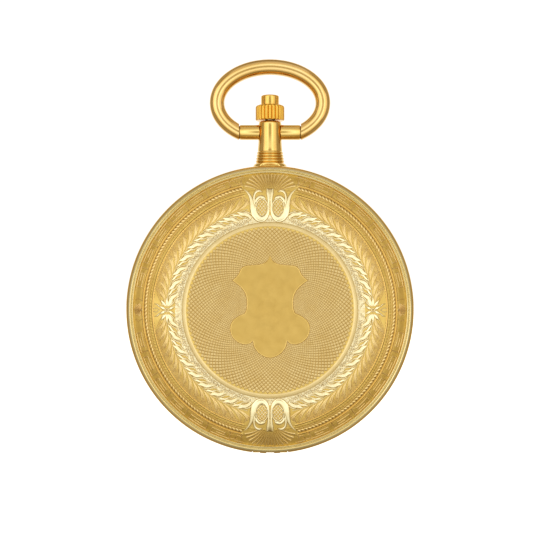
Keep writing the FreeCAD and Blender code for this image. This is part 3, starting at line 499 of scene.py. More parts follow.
def polar(theta, r):
    """x and y from a clock angle and a radius."""
    a = np.radians(theta)
    return np.stack([r * np.sin(a), r * np.cos(a)], -1)


def bend(points, k):
    """A smooth curve through a few points, by Catmull-Rom."""
    p = np.asarray(points, float)
    p = np.vstack([2 * p[0] - p[1], p, 2 * p[-1] - p[-2]])
    out = []
    spans = len(p) - 3
    for s in np.linspace(0, spans, k):
        i = min(int(s), spans - 1)
        t = s - i
        a, b, c, d = p[i:i + 4]
        out.append(0.5 * (2 * b + (c - a) * t + (2 * a - 5 * b + 4 * c - d) * t * t
                          + (3 * b - a - 3 * c + d) * t ** 3))
    return np.array(out)


def arc(theta0, theta1, r, k=24):
    """k points along a part of a circle."""
    return polar(np.linspace(theta0, theta1, k), np.full(k, r))


def tr(pairs):
    """Points given as (theta, r)."""
    return np.array([polar(a, b) for a, b in pairs])


def ellipse(centre, a, b, k):
    """A closed loop of k points."""
    s = full_turn(k)
    return np.stack([centre[0] + a * np.cos(s), centre[1] + b * np.sin(s)], 1)


def wreath(side, body, tag):
    """Laurel that grows from the flowers at 3 and 9 o'clock to the ornaments at 12 and 6."""
    outer, inner = Relief(), Relief()
    stem_r, last = 17.62, 13.0            # the leaves end at this angle, short of the ornaments
    for k in range(17):
        a = 85.8 - 4.3 * k
        inner.ridge(arc(a, a - 4.6, stem_r, 6), 0.16, 0.10)
        big = k % 2 == 0
        for i in range(6):
            u = i / 5 + rng.uniform(-0.05, 0.05)
            base, r_tip = a + 1.6 - 3.9 * u, 18.5 + 1.46 * math.sin(math.pi * (0.18 + 0.62 * u))
            lean = 5.6 + 2.6 * (1 - u)
            stroke = [(base, 17.72 + 0.25 * u), (base - 0.30 * lean, 18.10 + 0.2 * u),
                      (base - 0.68 * lean, 0.45 * 18.1 + 0.55 * r_tip), (max(base - lean, 13.4), r_tip)]
            outer.leaf(tr(stroke), 0.27 if big else 0.23, 0.13, 4, 0.25)
        if big:
            wavy = [(a + 1.5, 17.66), (a - 0.6, 17.14), (a - 2.9, 16.90), (a - 5.1, 16.22),
                    (max(a - 7.4, last), 15.84)]
            above = [(a - 2.6, 17.40), (a - 4.6, 17.10), (a - 6.6, 16.42), (max(a - 8.6, last), 16.14)]
            below = [(a + 1.8, 17.06), (a - 0.3, 16.50), (a - 2.6, 16.28), (a - 4.7, 15.66)]
            inner.leaf(tr(wavy), 0.90, 0.25, 8, 0.34, 0.8, 20)
            inner.ridge(bend(tr(above), 14), 0.26, 0.18, 4)
            inner.ridge(bend(tr(below), 14), 0.27, 0.18, 4)
        else:
            wavy = [(a + 0.4, 17.56), (a - 1.4, 17.24), (a - 3.2, 17.00), (max(a - 4.8, last), 16.50)]
            below = [(a + 2.2, 16.42), (a + 0.4, 15.98), (a - 1.3, 15.86), (a - 2.9, 15.42)]
            inner.leaf(tr(wavy), 0.52, 0.21, 6, 0.2, 0.8)
            inner.ridge(bend(tr(below), 12), 0.30, 0.17, 4)
    for a in np.arange(21.0, 86.0, 1.35):
        tip = [(a, 18.75), (a - 2.0, 19.15), (a - 4.4, 19.62), (a - 7.0, 19.95)]
        outer.ridge(bend(tr(tip), 9), 0.14, 0.07, 4)
    for a in np.arange(14.0, 84.0, 1.3):
        wob = rng.uniform(-0.14, 0.14)
        inner.bead(*polar(a, 15.42 + wob), 0.16, 0.07, 6)
        inner.bead(*polar(a + 0.6, 15.72 + wob), 0.13, 0.06, 6)
        outer.bead(*polar(a + 0.7, 20.0 + wob * 0.3), 0.09, 0.05, 5)
    for relief in (outer, inner):
        relief.quartered()
    outer.build(tag + "wreath_outer", body, GOLD_CHASED, side, full=0.11)
    inner.build(tag + "wreath_inner", body, GOLD_RELIEF_LIT, side, full=0.11)


def flowers(side, body, tag):
    """The rosettes at 3 and 9 o'clock, each between two tulips."""
    relief = Relief()
    r = 17.6
    c = np.array([r, 0.0])
    for degrees in (27, -27, 153, -153):
        a = math.radians(degrees)
        d = np.array([math.cos(a), math.sin(a)])
        relief.leaf([c + d * 0.30, c + d * 0.85, c + d * 1.50], 0.58, 0.20, 6, 0.25, 0.9, 9)
    for s in (1, -1):
        for x, y in ((16.55, 1.70), (17.62, 2.15), (18.65, 1.78)):
            petal = [(r, 0.62 * s), (r + (x - r) * 0.65, 1.25 * s), (x, y * s)]
            relief.leaf(petal, 0.62, 0.21, 6, 0.2, 0.9, 9)
        relief.ridge(bend([(r - 1.0, 1.02 * s), (r, 0.70 * s), (r + 1.0, 1.05 * s)], 12), 0.22, 0.15, 5)
    relief.ridge(ellipse(c, 0.30, 0.30, 24), 0.22, 0.21, 6, closed=True)
    relief.bead(*c, 0.15, 0.16, 8)
    for s in (1, -1):
        relief.leaf([(15.5, 0.5 * s), (15.75, 1.0 * s), (16.4, 1.25 * s)], 0.3, 0.10, 4, 0.0)
        relief.leaf([(18.9, 0.5 * s), (19.3, 0.95 * s), (19.9, 1.1 * s)], 0.3, 0.10, 4, 0.0)
        relief.ridge(bend([(18.95, 0.0), (19.5, 0.35 * s), (20.0, 0.2 * s)], 10), 0.14, 0.08, 4)
    relief.mirrored(x=-1)
    relief.build(tag + "flowers", body, GOLD_RELIEF_LIT, side)


def medallions(side, body, tag):
    """The twin loops at 12 and 6 o'clock, with a branch and a lattice in each and a wedge between them."""
    relief = Relief()
    loop = [(0.46, 20.8), (0.34, 20.1), (0.25, 19.3), (0.23, 18.2), (0.28, 17.0), (0.60, 16.1),
            (1.28, 15.55), (2.02, 15.72), (2.62, 16.5), (2.88, 17.4), (3.08, 18.4), (3.32, 19.3),
            (3.78, 20.1), (4.45, 20.75)]
    widths = [0.40, 0.66, 0.54, 0.46, 0.50, 0.80, 1.14, 1.26, 1.34, 1.24, 0.84, 0.62, 0.44, 0.12]
    k = 110
    wide = np.interp(np.linspace(0, len(loop) - 1, k), range(len(loop)), widths)
    relief.ridge(bend(loop, k), wide, 0.12 + 0.085 * wide, 12, 0.08)
    long = [(2.60, 17.0), (2.64, 18.2), (2.74, 19.3), (2.52, 20.15), (1.95, 20.5), (1.35, 20.3)]
    short = [(2.44, 18.4), (2.30, 19.0), (1.80, 19.42), (1.20, 19.35), (0.72, 18.9)]
    for branch, w in ((long, 0.54), (short, 0.62)):
        full = np.interp(np.linspace(0, 1, 30), (0, 0.25, 0.8, 1), (0.5, 0.85, 1.0, 0.2))
        relief.ridge(bend(branch, 30), w * full, 0.17 * full, 8)
    middle = (1.38, 17.45)
    relief.ridge(ellipse(middle, 1.04, 1.60, 70), 0.32, 0.19, 6, closed=True)
    x = np.linspace(-0.9, 0.9, 37)
    for slope in (1.25, -1.25):
        for c in np.linspace(-2.1, 2.1, 7):
            line = np.stack([x, slope * x + c], 1)
            line = line[(line[:, 0] / 0.86) ** 2 + (line[:, 1] / 1.40) ** 2 < 1]
            if len(line) > 3:
                relief.ridge(line + middle, 0.19, 0.15, 4)
    relief.leaf([(0.15, 15.3), (0.4, 15.45), (0.9, 15.38)], 0.24, 0.08, 6, 0.0)
    relief.mirrored(x=-1)
    s = np.linspace(0, 1, 16)
    relief.ridge(np.column_stack([0 * s, 18.7 + 2.2 * s]), 0.16 + 1.2 * s ** 1.5, 0.2 * (1 - s ** 3), 8)
    relief.mirrored(y=-1)
    relief.build(tag + "medallions", body, GOLD_RELIEF_LIT, side, full=0.11)


def shells(side, body, tag):
    """The fan of rays beyond the twin loops, with its scrolls and leaves."""
    relief = Relief()
    fan, root = 19.6, 1.45                # the rays' centre on the 12 o'clock line, and where they begin
    for i in range(8):
        a = math.radians(4.5 + i * 9.0)
        d = np.array([math.sin(a), math.cos(a)])
        reach = min(math.sqrt(23.42 ** 2 - (fan * d[0]) ** 2) - fan * d[1], 4.7)
        s = np.linspace(0, 1, 14)
        sag = np.array([d[1], -d[0]]) * 0.9 * (i / 7)
        path = np.array([0.0, fan]) + d * (root + (reach - root) * s[:, None]) + sag * (s ** 2 - s)[:, None]
        relief.ridge(path, 0.12 + 0.44 * s, 0.05 + 0.06 * s, 6)
    turn = np.linspace(0, 1.6 * np.pi, 26)
    rad = 0.62 - 0.085 * turn
    for cx, cy, spin in ((5.55, 22.1, 1), (6.6, 21.75, -1)):
        spiral = np.stack([cx + rad * np.cos(turn * spin + 2.6), cy + rad * np.sin(turn * spin + 2.6)], 1)
        relief.ridge(spiral, np.linspace(0.22, 0.10, 26), 0.10, 6)
    relief.leaf([(4.4, 22.9), (5.2, 22.85), (6.1, 22.55), (7.0, 22.1)], 0.34, 0.11, 6, 0.3)
    relief.leaf([(4.6, 21.2), (4.95, 21.9), (4.9, 22.6)], 0.30, 0.11, 6, 0.3)
    relief.quartered()
    relief.build(tag + "shells", body, GOLD_CHASED, side, full=0.13)


def small_fans(side, body, tag):
    """Fans in the frieze at 3 and 9 o'clock."""
    relief = Relief()
    for i in range(-5, 6):
        a = math.radians(i * 13.5)
        d = np.array([math.cos(a), math.sin(a)])
        length = 1.42 if abs(i) < 4 else 1.15
        s = np.linspace(0, 1, 7)[:, None]
        ray = np.array([22.05, 0.0]) + d * (0.22 + (length - 0.22) * s)
        relief.ridge(ray, 0.09 + 0.24 * s[:, 0], 0.15, 5)
    relief.bead(22.1, 0, 0.2, 0.10)
    for s in (1, -1):
        relief.ridge(bend([(22.05, 1.55 * s), (22.6, 1.9 * s), (23.3, 1.7 * s)], 10), 0.14, 0.08, 4)
    relief.mirrored(x=-1)
    relief.build(tag + "small_fans", body, GOLD_CHASED, side)


KEY = ((0.02, 0.0), (0.02, 1.0), (0.80, 1.0), (0.80, 0.26), (0.24, 0.26), (0.24, 0.64), (0.56, 0.64))


def frieze(side, body, tag):
    """Greek keys, six to a quarter, between two lines."""
    relief = Relief()
    r0, r1, pitch, line = 22.28, 23.38, 10.75, 0.23
    for k in range(6):
        start = 17.6 + pitch * k
        for (u0, v0), (u1, v1) in zip(KEY[:-1], KEY[1:]):
            steps = 7 if v0 == v1 else 2
            s = np.linspace(0, 1, steps)
            theta = start + pitch * (u0 + (u1 - u0) * s)
            r = r0 + (r1 - r0) * (v0 + (v1 - v0) * s)
            if v0 == v1:
                pad = math.degrees(0.09 / r0) * np.sign(u1 - u0)
                theta = theta + np.linspace(-pad, pad, steps)
            relief.ridge(polar(theta, r), line, 0.12, 4)
    for r in (23.52, 22.15):
        relief.ridge(arc(16.2, 82.6, r, 120), 0.09, 0.05, 3)
    relief.quartered()
    relief.build(tag + "frieze", body, GOLD_CHASED, side, full=0.11)


def ribs(side, body, tag):
    """Fine radial lining under the keys and in the narrow band beside the rope."""
    relief = Relief()
    for r0, r1, count, depth in ((22.12, 23.54, 720, 0.035), (20.36, 20.80, 250, 0.07)):
        n = count * 2
        h = np.where(np.arange(n) % 2 == 0, depth, 0.0)[:, None] * np.array([0.2, 1, 1, 0.2])[None] + 0.004
        relief.band(np.linspace(0, 360, n, endpoint=False), np.linspace(r0, r1, 4), h)
    relief.build(tag + "ribs", body, GOLD_GROUND_SHADED, side, smooth=False)


def rope(side, body, tag):
    """A twisted cord in a channel."""
    relief = Relief()
    count, per, around = 212, 6, 9
    n = count * per
    theta = np.linspace(0, 360, n, endpoint=False)
    u = np.linspace(-1, 1, around)
    lobes = 0.5 + 0.5 * np.cos(2 * np.pi * (np.arange(n)[:, None] / per) + u[None] * 2.4)
    h = np.sqrt(np.maximum(0, 1 - u ** 2))[None] * (0.07 + 0.085 * lobes ** 0.7) - 0.07
    h = np.where(away_from_ornaments(theta)[:, None] > 0.5, h, -0.09)
    relief.band(theta, 21.42 + 0.31 * u, h)
    relief.build(tag + "rope", body, GOLD_CHASED, side, full=0.06)


ENGINE_DEPTH = 0.0036    # height of a grain over its distance from the centre


def engine_turning(side, body, tag):
    """Crossing spiral cuts that leave a raised grain in every diamond between them."""
    count = 112
    half = math.pi / count
    cut = half * 0.97                     # a grain's own half width, less the cut beside it
    rings = int(math.log(DISC_R / 3.0) / half)
    j = np.arange(count)
    points, faces = [], []
    for i in range(1, rings):
        r = DISC_R * math.exp(-half * i) * 0.998
        a = 2 * half * (j + 0.5 * (i % 2))
        near, far = r * math.exp(-cut), min(r * math.exp(cut), DISC_R)
        corners = [(far, a), (r, a + cut), (near, a), (r, a - cut)]
        block = []
        for share, h in ((1.0, 0.0), (0.4, ENGINE_DEPTH * r)):
            for q, b in corners:
                radius, angle = r + (q - r) * share, a + (b - a) * share
                block.append(np.stack([radius * np.sin(angle), radius * np.cos(angle), np.full(count, h)], 1))
        points.append(np.stack(block, 1).reshape(-1, 3))
        first = 8 * (count * (i - 1) + j[:, None])
        for f in ((0, 1, 5, 4), (1, 2, 6, 5), (2, 3, 7, 6), (3, 0, 4, 7), (4, 5, 6, 7)):
            faces.append(first + f)
    relief = Relief()
    relief.add(np.concatenate(points), np.concatenate(faces))
    relief.build(tag + "engine_turning", body, GOLD_ENGINE, side, False, full=lambda r: ENGINE_DEPTH * r)


def cartouche_outline():
    """The plain shield in the middle, mirror-symmetric about 12 to 6."""
    runs = (((0.0, 9.3), (0.5, 8.5), (1.3, 8.0), (2.6, 7.78), (4.1, 7.65), (4.9, 7.2), (5.25, 6.5)),
            ((5.25, 6.5), (5.7, 5.8), (6.55, 5.1)),
            ((6.55, 5.1), (5.1, 3.95), (4.3, 2.85), (4.0, 1.6), (4.05, 0.3), (4.3, -0.45)),
            ((4.3, -0.45), (5.45, -0.98), (6.45, -1.85), (6.85, -3.1), (6.5, -4.5), (5.5, -5.5), (4.4, -5.88),
             (3.45, -5.75), (2.98, -5.3)),
            ((2.98, -5.3), (2.72, -6.3), (2.0, -7.3), (1.0, -7.95), (0.0, -8.2)))
    right = [(0.0, 9.3)]
    for run in runs:
        right += bend(run, 8 * len(run)).tolist()[1:]
    right = np.array(right)
    left = right[::-1][1:-1] * np.array([-1, 1])
    return np.vstack([right, left])


def inset(outline, distance):
    """The outline moved inwards, by less at its narrow peak."""
    near = np.where(outline[:, 1] > 8.1, np.clip(np.abs(outline[:, 0]) / 0.9, 0.12, 0.7), 1.0)
    return outline + crosswise(outline, True) * distance * near[:, None]


def cartouche(side, body, tag):
    """The plain shield with its polished edge."""
    relief = Relief()
    outline = cartouche_outline()
    n = len(outline)
    levels = [(0.0, -0.02), (0.05, 0.075), (0.09, 0.105), (0.15, 0.105), (0.19, 0.088)]
    rings = [np.column_stack([inset(outline, d), np.full(n, h)]) for d, h in levels]
    relief.add(np.vstack(rings), grid_faces(len(levels), n, wrap_cols=True))
    relief.add(rings[-1], [tuple(range(n))])
    ob = relief.build(tag + "cartouche", body, GOLD_SATIN, side)
    ob.data.materials.append(GOLD)
    edge = (len(levels) - 1) * n
    index = [1] * edge + [0] * (len(ob.data.polygons) - edge)
    ob.data.polygons.foreach_set("material_index", index)
    sharpen(ob, 30)


def cover_hinge(side, body, tag):
    """The cover's two knuckles."""
    points, faces = [], []
    for i in (1, 3):
        x0 = (i - 2.5) * KNUCKLE + 0.03
        x1 = x0 + KNUCKLE - 0.06
        rings = ((x0, 0.28), (x0, KNUCKLE_R - 0.04), (x0 + 0.04, KNUCKLE_R), (x1 - 0.04, KNUCKLE_R),
                 (x1, KNUCKLE_R - 0.04), (x1, 0.28))
        faces += grid_faces(len(rings), 28, wrap_rows=True, wrap_cols=True, first=len(points)).tolist()
        points += turned_x(rings, 28, HINGE_Y, HINGE_HEIGHT)
    sharpen(piece(tag + "knuckles", points, faces, body, GOLD, side=side), 35)


def cover(side, body, tag):
    """A whole cover. The front has side 1 and the back -1."""
    shell = cover_shell(tag + "cover_shell", side, body)
    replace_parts(shell, body)
    for part in (cover_hinge, wreath, flowers, medallions, shells, small_fans, frieze, ribs, rope,
                 engine_turning, cartouche):
        part(side, body, tag)


cover(1, "front_cover", "front_")
cover(-1, "back_cover", "back_")


# ---- pendant, crown, button and bow

def turned_y(name, profile, body, mat, n=96, flute=None, replaces=None, sharp=35):
    """A piece turned about the 12 to 6 axis from (radius, y) points. flute changes the radius by angle."""
    profile = np.asarray(profile, float)
    a = full_turn(n)[:, None]
    r = np.repeat(profile[None, :, 0], n, 0)
    if flute:
        r = flute(r, a, profile)
    y = np.repeat(profile[None, :, 1], n, 0)
    points = np.stack([r * np.sin(a), y, r * np.cos(a)], -1)
    ob = piece(name, points.reshape(-1, 3), grid_faces(n, len(profile), wrap_rows=True), body, mat)
    if replaces:
        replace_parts(ob, replaces)
    return sharpen(ob, sharp)


def round_over(r0, y0, r1, y1, k):
    """Profile points of a quarter round between two corners."""
    return [(r1 + (r0 - r1) * math.cos(a), y0 + (y1 - y0) * math.sin(a))
            for a in np.linspace(0, math.pi / 2, k)]


crown_lo, crown_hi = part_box("crown")
CROWN_R = (crown_hi.x - crown_lo.x) / 2 * 1000
CROWN_Y0, CROWN_Y1 = up(crown_lo.z), up(crown_hi.z)
FLUTES = 22


def crown_flutes(r, a, profile):
    """Scallops in the side of the crown."""
    y = profile[None, :, 1]
    deep = 0.26 * np.clip((y - CROWN_Y0 - 0.02) / 0.12, 0, 1) * np.clip((CROWN_Y1 - 0.12 - y) / 0.3, 0, 1)
    wave = np.abs(np.cos(a * FLUTES / 2)) ** 0.6
    return np.where(r > 2.0, r - deep * (1 - wave), r)


crown_profile = [(1.05, CROWN_Y0 + 0.4), (1.05, CROWN_Y0), (2.2, CROWN_Y0)]
crown_profile += round_over(CROWN_R, CROWN_Y0 + 0.16, 2.25, CROWN_Y0, 5)[::-1]
crown_profile += [(CROWN_R, y) for y in np.linspace(CROWN_Y0 + 0.3, CROWN_Y1 - 0.52, 7)]
crown_profile += round_over(CROWN_R, CROWN_Y1 - 0.45, 2.06, CROWN_Y1, 8)
crown_profile += [(1.75, CROWN_Y1), (1.65, CROWN_Y1 - 0.06), (1.65, CROWN_Y1 - 1.6), (0.5, CROWN_Y1 - 1.6)]
turned_y("crown_body", crown_profile, "crown", GOLD_CROWN, FLUTES * 14, crown_flutes, "crown", 50)

button_lo, button_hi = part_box("crown_button")
ROD_END, TOP = up(button_lo.z), up(button_hi.z)
button_profile = [(0.36, TOP - 1.9), (1.28, TOP - 1.9), (1.32, TOP - 2.5), (1.58, TOP - 2.5),
                  (1.60, TOP - 2.45), (1.60, TOP - 0.34)]
button_profile += round_over(1.60, TOP - 0.32, 1.24, TOP - 0.045, 8)
button_profile += [(0.9, TOP - 0.018), (0.45, TOP - 0.004), (0.01, TOP)]
button = turned_y("button_cap", button_profile, "button", GOLD_BUTTON, sharp=40)
rod = [(0.01, ROD_END), (0.30, ROD_END), (0.36, ROD_END + 0.06), (0.36, TOP - 1.8), (0.01, TOP - 1.8)]
turned_y("button_rod", rod, "button", STEEL, 32)
pin_rings = ((-1.25, 0.01), (-1.25, 0.15), (-1.22, 0.18), (1.22, 0.18), (1.25, 0.15), (1.25, 0.01))
pin = turned_x(pin_rings, 20, ROD_END + 0.45)
pin_faces = grid_faces(len(pin_rings), 20, wrap_cols=True)
sharpen(piece("button_cross_pin", pin, pin_faces, "button", STEEL), 35)
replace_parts(button, "crown_button")

NECK_TOP, NECK_R, NECK_BORE = up(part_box("neck")[1].z), 2.02, 0.92
neck_profile = [(NECK_BORE, 23.0), (1.9, 23.0), (1.9, 24.2), (2.95, 24.28), (2.95, 25.05), (2.90, 25.28),
                (2.78, 25.44), (2.62, 25.56), (2.46, 25.66)]
for i in range(4):
    r, y = 2.36 - 0.07 * i, 25.73 + 0.49 * i
    neck_profile += [(r + 0.18 * math.sin(math.pi * s) ** 0.75, y + 0.46 * s) for s in np.linspace(0, 1, 10)]
neck_profile += [(2.14, 27.72), (2.17, 27.84)]
neck_profile += [(2.17 - (2.17 - NECK_R) * math.sin(s * math.pi / 2), 28.0 + 2.6 * s)
                 for s in np.linspace(0, 1, 8)]
neck_profile += [(NECK_R, NECK_TOP - 0.9)] + round_over(NECK_R, NECK_TOP - 0.5, 1.62, NECK_TOP, 9)
neck_profile += [(NECK_BORE, NECK_TOP), (NECK_BORE, 31.0), (NECK_BORE, 23.5)]
neck = turned_y("pendant_neck", neck_profile, "case", GOLD, 128, replaces="neck", sharp=40)
co = np.array([v.co for v in neck.data.vertices])
limit = np.where(up(co[:, 2]) < 25.35, 2.42, 9.0) / 1000     # the foot is flattened to lie between the covers
co[:, 1] = np.clip(co[:, 1], -limit, limit)
neck.data.vertices.foreach_set("co", co.ravel())

sleeve_lo, sleeve_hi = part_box("bow_sleeves")
SLEEVE_R = (sleeve_hi.y - sleeve_lo.y) / 2 * 1000
SLEEVE_END = sleeve_hi.x * 1000
TRUNNION_Y = up((sleeve_lo.z + sleeve_hi.z) / 2)
JOURNAL = 0.125          # what shows of the journals between the barrels and the bow
BOW_GAP = 0.13
points, faces = [], []
barrel_rings = ((1.6, 0.85), (1.90, 0.85), (1.90, SLEEVE_R - 0.05), (1.94, SLEEVE_R),
                (SLEEVE_END - 0.14, SLEEVE_R), (SLEEVE_END - 0.04, SLEEVE_R - 0.06),
                (SLEEVE_END, SLEEVE_R - 0.08), (SLEEVE_END, SLEEVE_R - 0.2),
                (SLEEVE_END + JOURNAL, SLEEVE_R - 0.2), (SLEEVE_END + JOURNAL, 0.52))
for s in (-1, 1):
    f = grid_faces(len(barrel_rings), 64, wrap_cols=True, first=len(points))
    faces += (f if s > 0 else f[:, ::-1]).tolist()
    points += turned_x([(s * x, r) for x, r in barrel_rings], 64, TRUNNION_Y)
sleeves = sharpen(piece("bow_barrels", points, faces, "case", GOLD), 35)
# The journals take the near-black gold: painted shadow in the seam between barrel and bow.
sleeves.data.materials.append(GOLD_SEAM_SHADOW)
for face in sleeves.data.polygons:
    face.material_index = int(abs(face.center.x) > 0.001 * (SLEEVE_END + 0.01))
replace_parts(sleeves, "bow_sleeves")

bow_lo, bow_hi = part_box("bow")
WIRE_R = (bow_hi.y - bow_lo.y) / 2 * 1000
BOW_A = bow_hi.x * 1000 - WIRE_R
BOW_B = 6.32
BOW_Y = up(bow_hi.z) - WIRE_R - BOW_B
k, around = 220, 40
s = np.radians(np.linspace(-60, 240, k))
cx, cy = BOW_A * np.cos(s), BOW_Y + BOW_B * np.sin(s)
nx, ny = BOW_B * np.cos(s), BOW_A * np.sin(s)
length = np.hypot(nx, ny)
nx, ny = nx / length, ny / length
b = full_turn(around)
wire = WIRE_R * (0.955 + 0.045 * np.clip(np.sin(s), 0, 1))[:, None]
points = np.stack([cx[:, None] + wire * nx[:, None] * np.cos(b), cy[:, None] + wire * ny[:, None] * np.cos(b),
                   np.broadcast_to(wire * np.sin(b), (k, around))], -1)
bow = piece("bow_wire", points.reshape(-1, 3), grid_faces(k, around, wrap_cols=True), "bow", GOLD_BOW)
bm = bmesh.new()
bm.from_mesh(bow.data)
for sign in (-1, 1):
    cut = 0.001 * (SLEEVE_END + BOW_GAP) * sign
    low = [f for f in bm.faces
           if up(f.calc_center_median().z) < 34.0 and f.calc_center_median().x * sign > 0]
    geom = set(low) | {e for f in low for e in f.edges} | {v for f in low for v in f.verts}
    done = bmesh.ops.bisect_plane(bm, geom=list(geom), plane_co=(cut, 0, 0), plane_no=(-sign, 0, 0),
                                  clear_outer=True)
    rim = [e for e in done["geom_cut"] if isinstance(e, bmesh.types.BMEdge)]
    bmesh.ops.edgenet_fill(bm, edges=rim)
bmesh.ops.recalc_face_normals(bm, faces=bm.faces)
bm.to_mesh(bow.data)
bm.free()
sharpen(bow, 40)
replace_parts(bow, "bow")


# ---- dial and hands

SECONDS_AT = (0.0, -9.0)
DIAL_TOP = -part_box("dial")[0].y * 1000
ROMAN = dict(enumerate("I II III IIII V VI VII VIII IX X XI XII".split(), 1))
del ROMAN[6]             # the small seconds are there
LETTER_WIDTH = {"I": 0.86, "V": 1.75, "X": 1.75}


class Print:
    """Printing laid down in flat quads, a hair above the enamel."""

    def __init__(self, z):
        self.z, self.points, self.faces = z, [], []

    def quad(self, corners):
        """A patch between four corners."""
        n = len(self.points)
        self.points += [(x, y, self.z) for x, y in corners]
        self.faces.append((n, n + 1, n + 2, n + 3))

    def stroke(self, place, a, b, width):
        """A bar from a to b whose ends are cut level, through the numeral's placing."""
        w = width / 2
        corners = ((a[0] - w, a[1]), (a[0] + w, a[1]), (b[0] + w, b[1]), (b[0] - w, b[1]))
        self.quad([place(*corner) for corner in corners])

    def circle(self, centre, r0, r1, n=360):
        """A ring between two radii."""
        a = np.linspace(0, 2 * np.pi, n + 1)
        for b, c in zip(a[:-1], a[1:]):
            corners = ((r0, b), (r1, b), (r1, c), (r0, c))
            self.quad([(centre[0] + r * math.sin(d), centre[1] + r * math.cos(d)) for r, d in corners])

    def tick(self, centre, degrees, r0, r1, width):
        """A mark that points at the centre."""
        d = np.array([math.sin(math.radians(degrees)), math.cos(math.radians(degrees))])
        side = np.array([d[1], -d[0]]) * width / 2
        c = np.array(centre)
        self.quad([c + d * r0 - side, c + d * r0 + side, c + d * r1 + side, c + d * r1 - side])

    def build(self, name):
        piece(name, self.points, self.faces, "case", INK, smooth=False)


def numeral(ink, hour):
    """A Roman numeral that stands on the centre, with serifs above and below."""
    letters = ROMAN[hour]
    total = sum(LETTER_WIDTH[c] for c in letters)
    turn = math.radians(hour * 30)
    foot, height = 14.3, 3.3

    def place(u, v):
        r = foot + v
        return r * math.sin(turn) + u * math.cos(turn), r * math.cos(turn) - u * math.sin(turn)

    u = -total / 2
    for letter in letters:
        w = LETTER_WIDTH[letter]
        mid = u + w / 2
        if letter == "I":
            ink.stroke(place, (mid, 0), (mid, height), 0.46)
        elif letter == "V":
            ink.stroke(place, (u + 0.38, height), (mid, 0), 0.50)
            ink.stroke(place, (u + w - 0.32, height), (mid, 0), 0.16)
        else:
            ink.stroke(place, (u + 0.36, height), (u + w - 0.36, 0), 0.50)
            ink.stroke(place, (u + w - 0.32, height), (u + 0.32, 0), 0.16)
        u += w
    end, half = total / 2 - 0.06, 0.07    # of the serifs
    for v in (0.05, height - 0.05):
        corners = ((-end, v - half), (end, v - half), (end, v + half), (-end, v + half))
        ink.quad([place(*corner) for corner in corners])


INK_HEIGHT, SUNK_DIAL = 0.012, 0.12
printing = Print(DIAL_TOP + INK_HEIGHT)
for hour in ROMAN:
    numeral(printing, hour)
for r in (18.35, 19.15):
    printing.circle((0, 0), r, r + 0.07)
for minute in range(60):
    printing.tick((0, 0), minute * 6, 18.4, 19.2, 0.34 if minute % 5 == 0 else 0.10)
printing.build("dial_print")

small = Print(DIAL_TOP - SUNK_DIAL + INK_HEIGHT)
for r in (3.55, 4.05):
    small.circle(SECONDS_AT, r, r + 0.05, 160)
for second in range(60):
    small.tick(SECONDS_AT, second * 6, 3.6 if second % 5 else 3.25, 4.05, 0.16 if second % 5 == 0 else 0.07)
small.build("seconds_print")


def hand(node, body, at, length, tail, half, degrees, spade, boss_r, hole_r):
    """A blued hand with a ridge along its middle: boss, blade with a spade, point and tail."""
    low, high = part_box(node)
    z0, z1 = -high.y * 1000, -low.y * 1000
    root = hole_r + 0.12
    if spade:
        blade = [(root, 0.5 * half), (0.30 * length, 0.34 * half), (0.60 * length, 0.26 * half)]
        spade_and_point = ((0.645, 0.40), (0.665, 0.80), (0.70, 1.05), (0.735, 0.98), (0.77, 0.60),
                           (0.82, 0.26), (0.90, 0.17), (1.0, 0.06))
        blade += [(u * length, w * half) for u, w in spade_and_point]
    else:
        blade = [(root, half), (length * 0.5, 0.6 * half), (length, 0.15 * half)]
    back = [(-tail, 0.35 * half), (-tail * 0.85, 0.5 * half), (-root, 0.5 * half)]
    section = ((-1, 0.0), (-1, 0.55), (-0.45, 0.8), (0, 1.0), (0.45, 0.8), (1, 0.55), (1, 0.0))
    k = len(section)
    a = math.radians(degrees)
    points, faces = [], []
    for stations in (blade, back):
        first = len(points)
        points += [(at[0] + u * math.sin(a) + w * q * math.cos(a),
                    at[1] + u * math.cos(a) - w * q * math.sin(a),
                    z0 + (z1 - z0) * h) for u, w in stations for q, h in section]
        faces += grid_faces(len(stations), k, wrap_cols=True, first=first).tolist()
        faces += [tuple(range(first, first + k)), tuple(range(len(points) - 1, len(points) - k - 1, -1))]
    ring = [(hole_r, 0.0), (boss_r - 0.04, 0.0), (boss_r, 0.15), (boss_r, 0.75), (boss_r - 0.1, 0.98),
            (hole_r + 0.1, 1.0), (hole_r, 0.9)]
    faces += grid_faces(40, len(ring), wrap_rows=True, wrap_cols=True, first=len(points)).tolist()
    points += [(at[0] + r * math.sin(c), at[1] + r * math.cos(c), z0 + (z1 - z0) * h)
               for c in full_turn(40) for r, h in ring]
    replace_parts(sharpen(piece(node + "_blued", points, faces, body, BLUED), 30), node)


hand("minute_hand", "centre", (0, 0), 16.2, 3.0, 0.62, 54.0, True, 1.15, 0.62)
hand("hour_hand", "hour", (0, 0), 11.0, 2.4, 0.80, 304.5, True, 1.5, 1.0)
hand("seconds_hand", "fourth", SECONDS_AT, 3.9, 1.4, 0.20, 210.0, False, 0.5, 0.2)


# ---- CAD nodes that keep their shape

FINISH = {
    "gold": GOLD, "dial_enamel": ENAMEL, "blued_steel": BLUED, "steel": STEEL, "nickel": NICKEL,
    "gilt_brass": GILT, "ruby": RUBY, "crystal": CRYSTAL,
}
for sub in frame["record"]["subparts"]:
    node, finish = frame["nodes"][sub["node"]], FINISH[sub["material_slot"]]
    if node.material_slots:
        for slot in node.material_slots:
            slot.material = finish
    else:
        node.data.materials.append(finish)


# ---- floor, light and camera

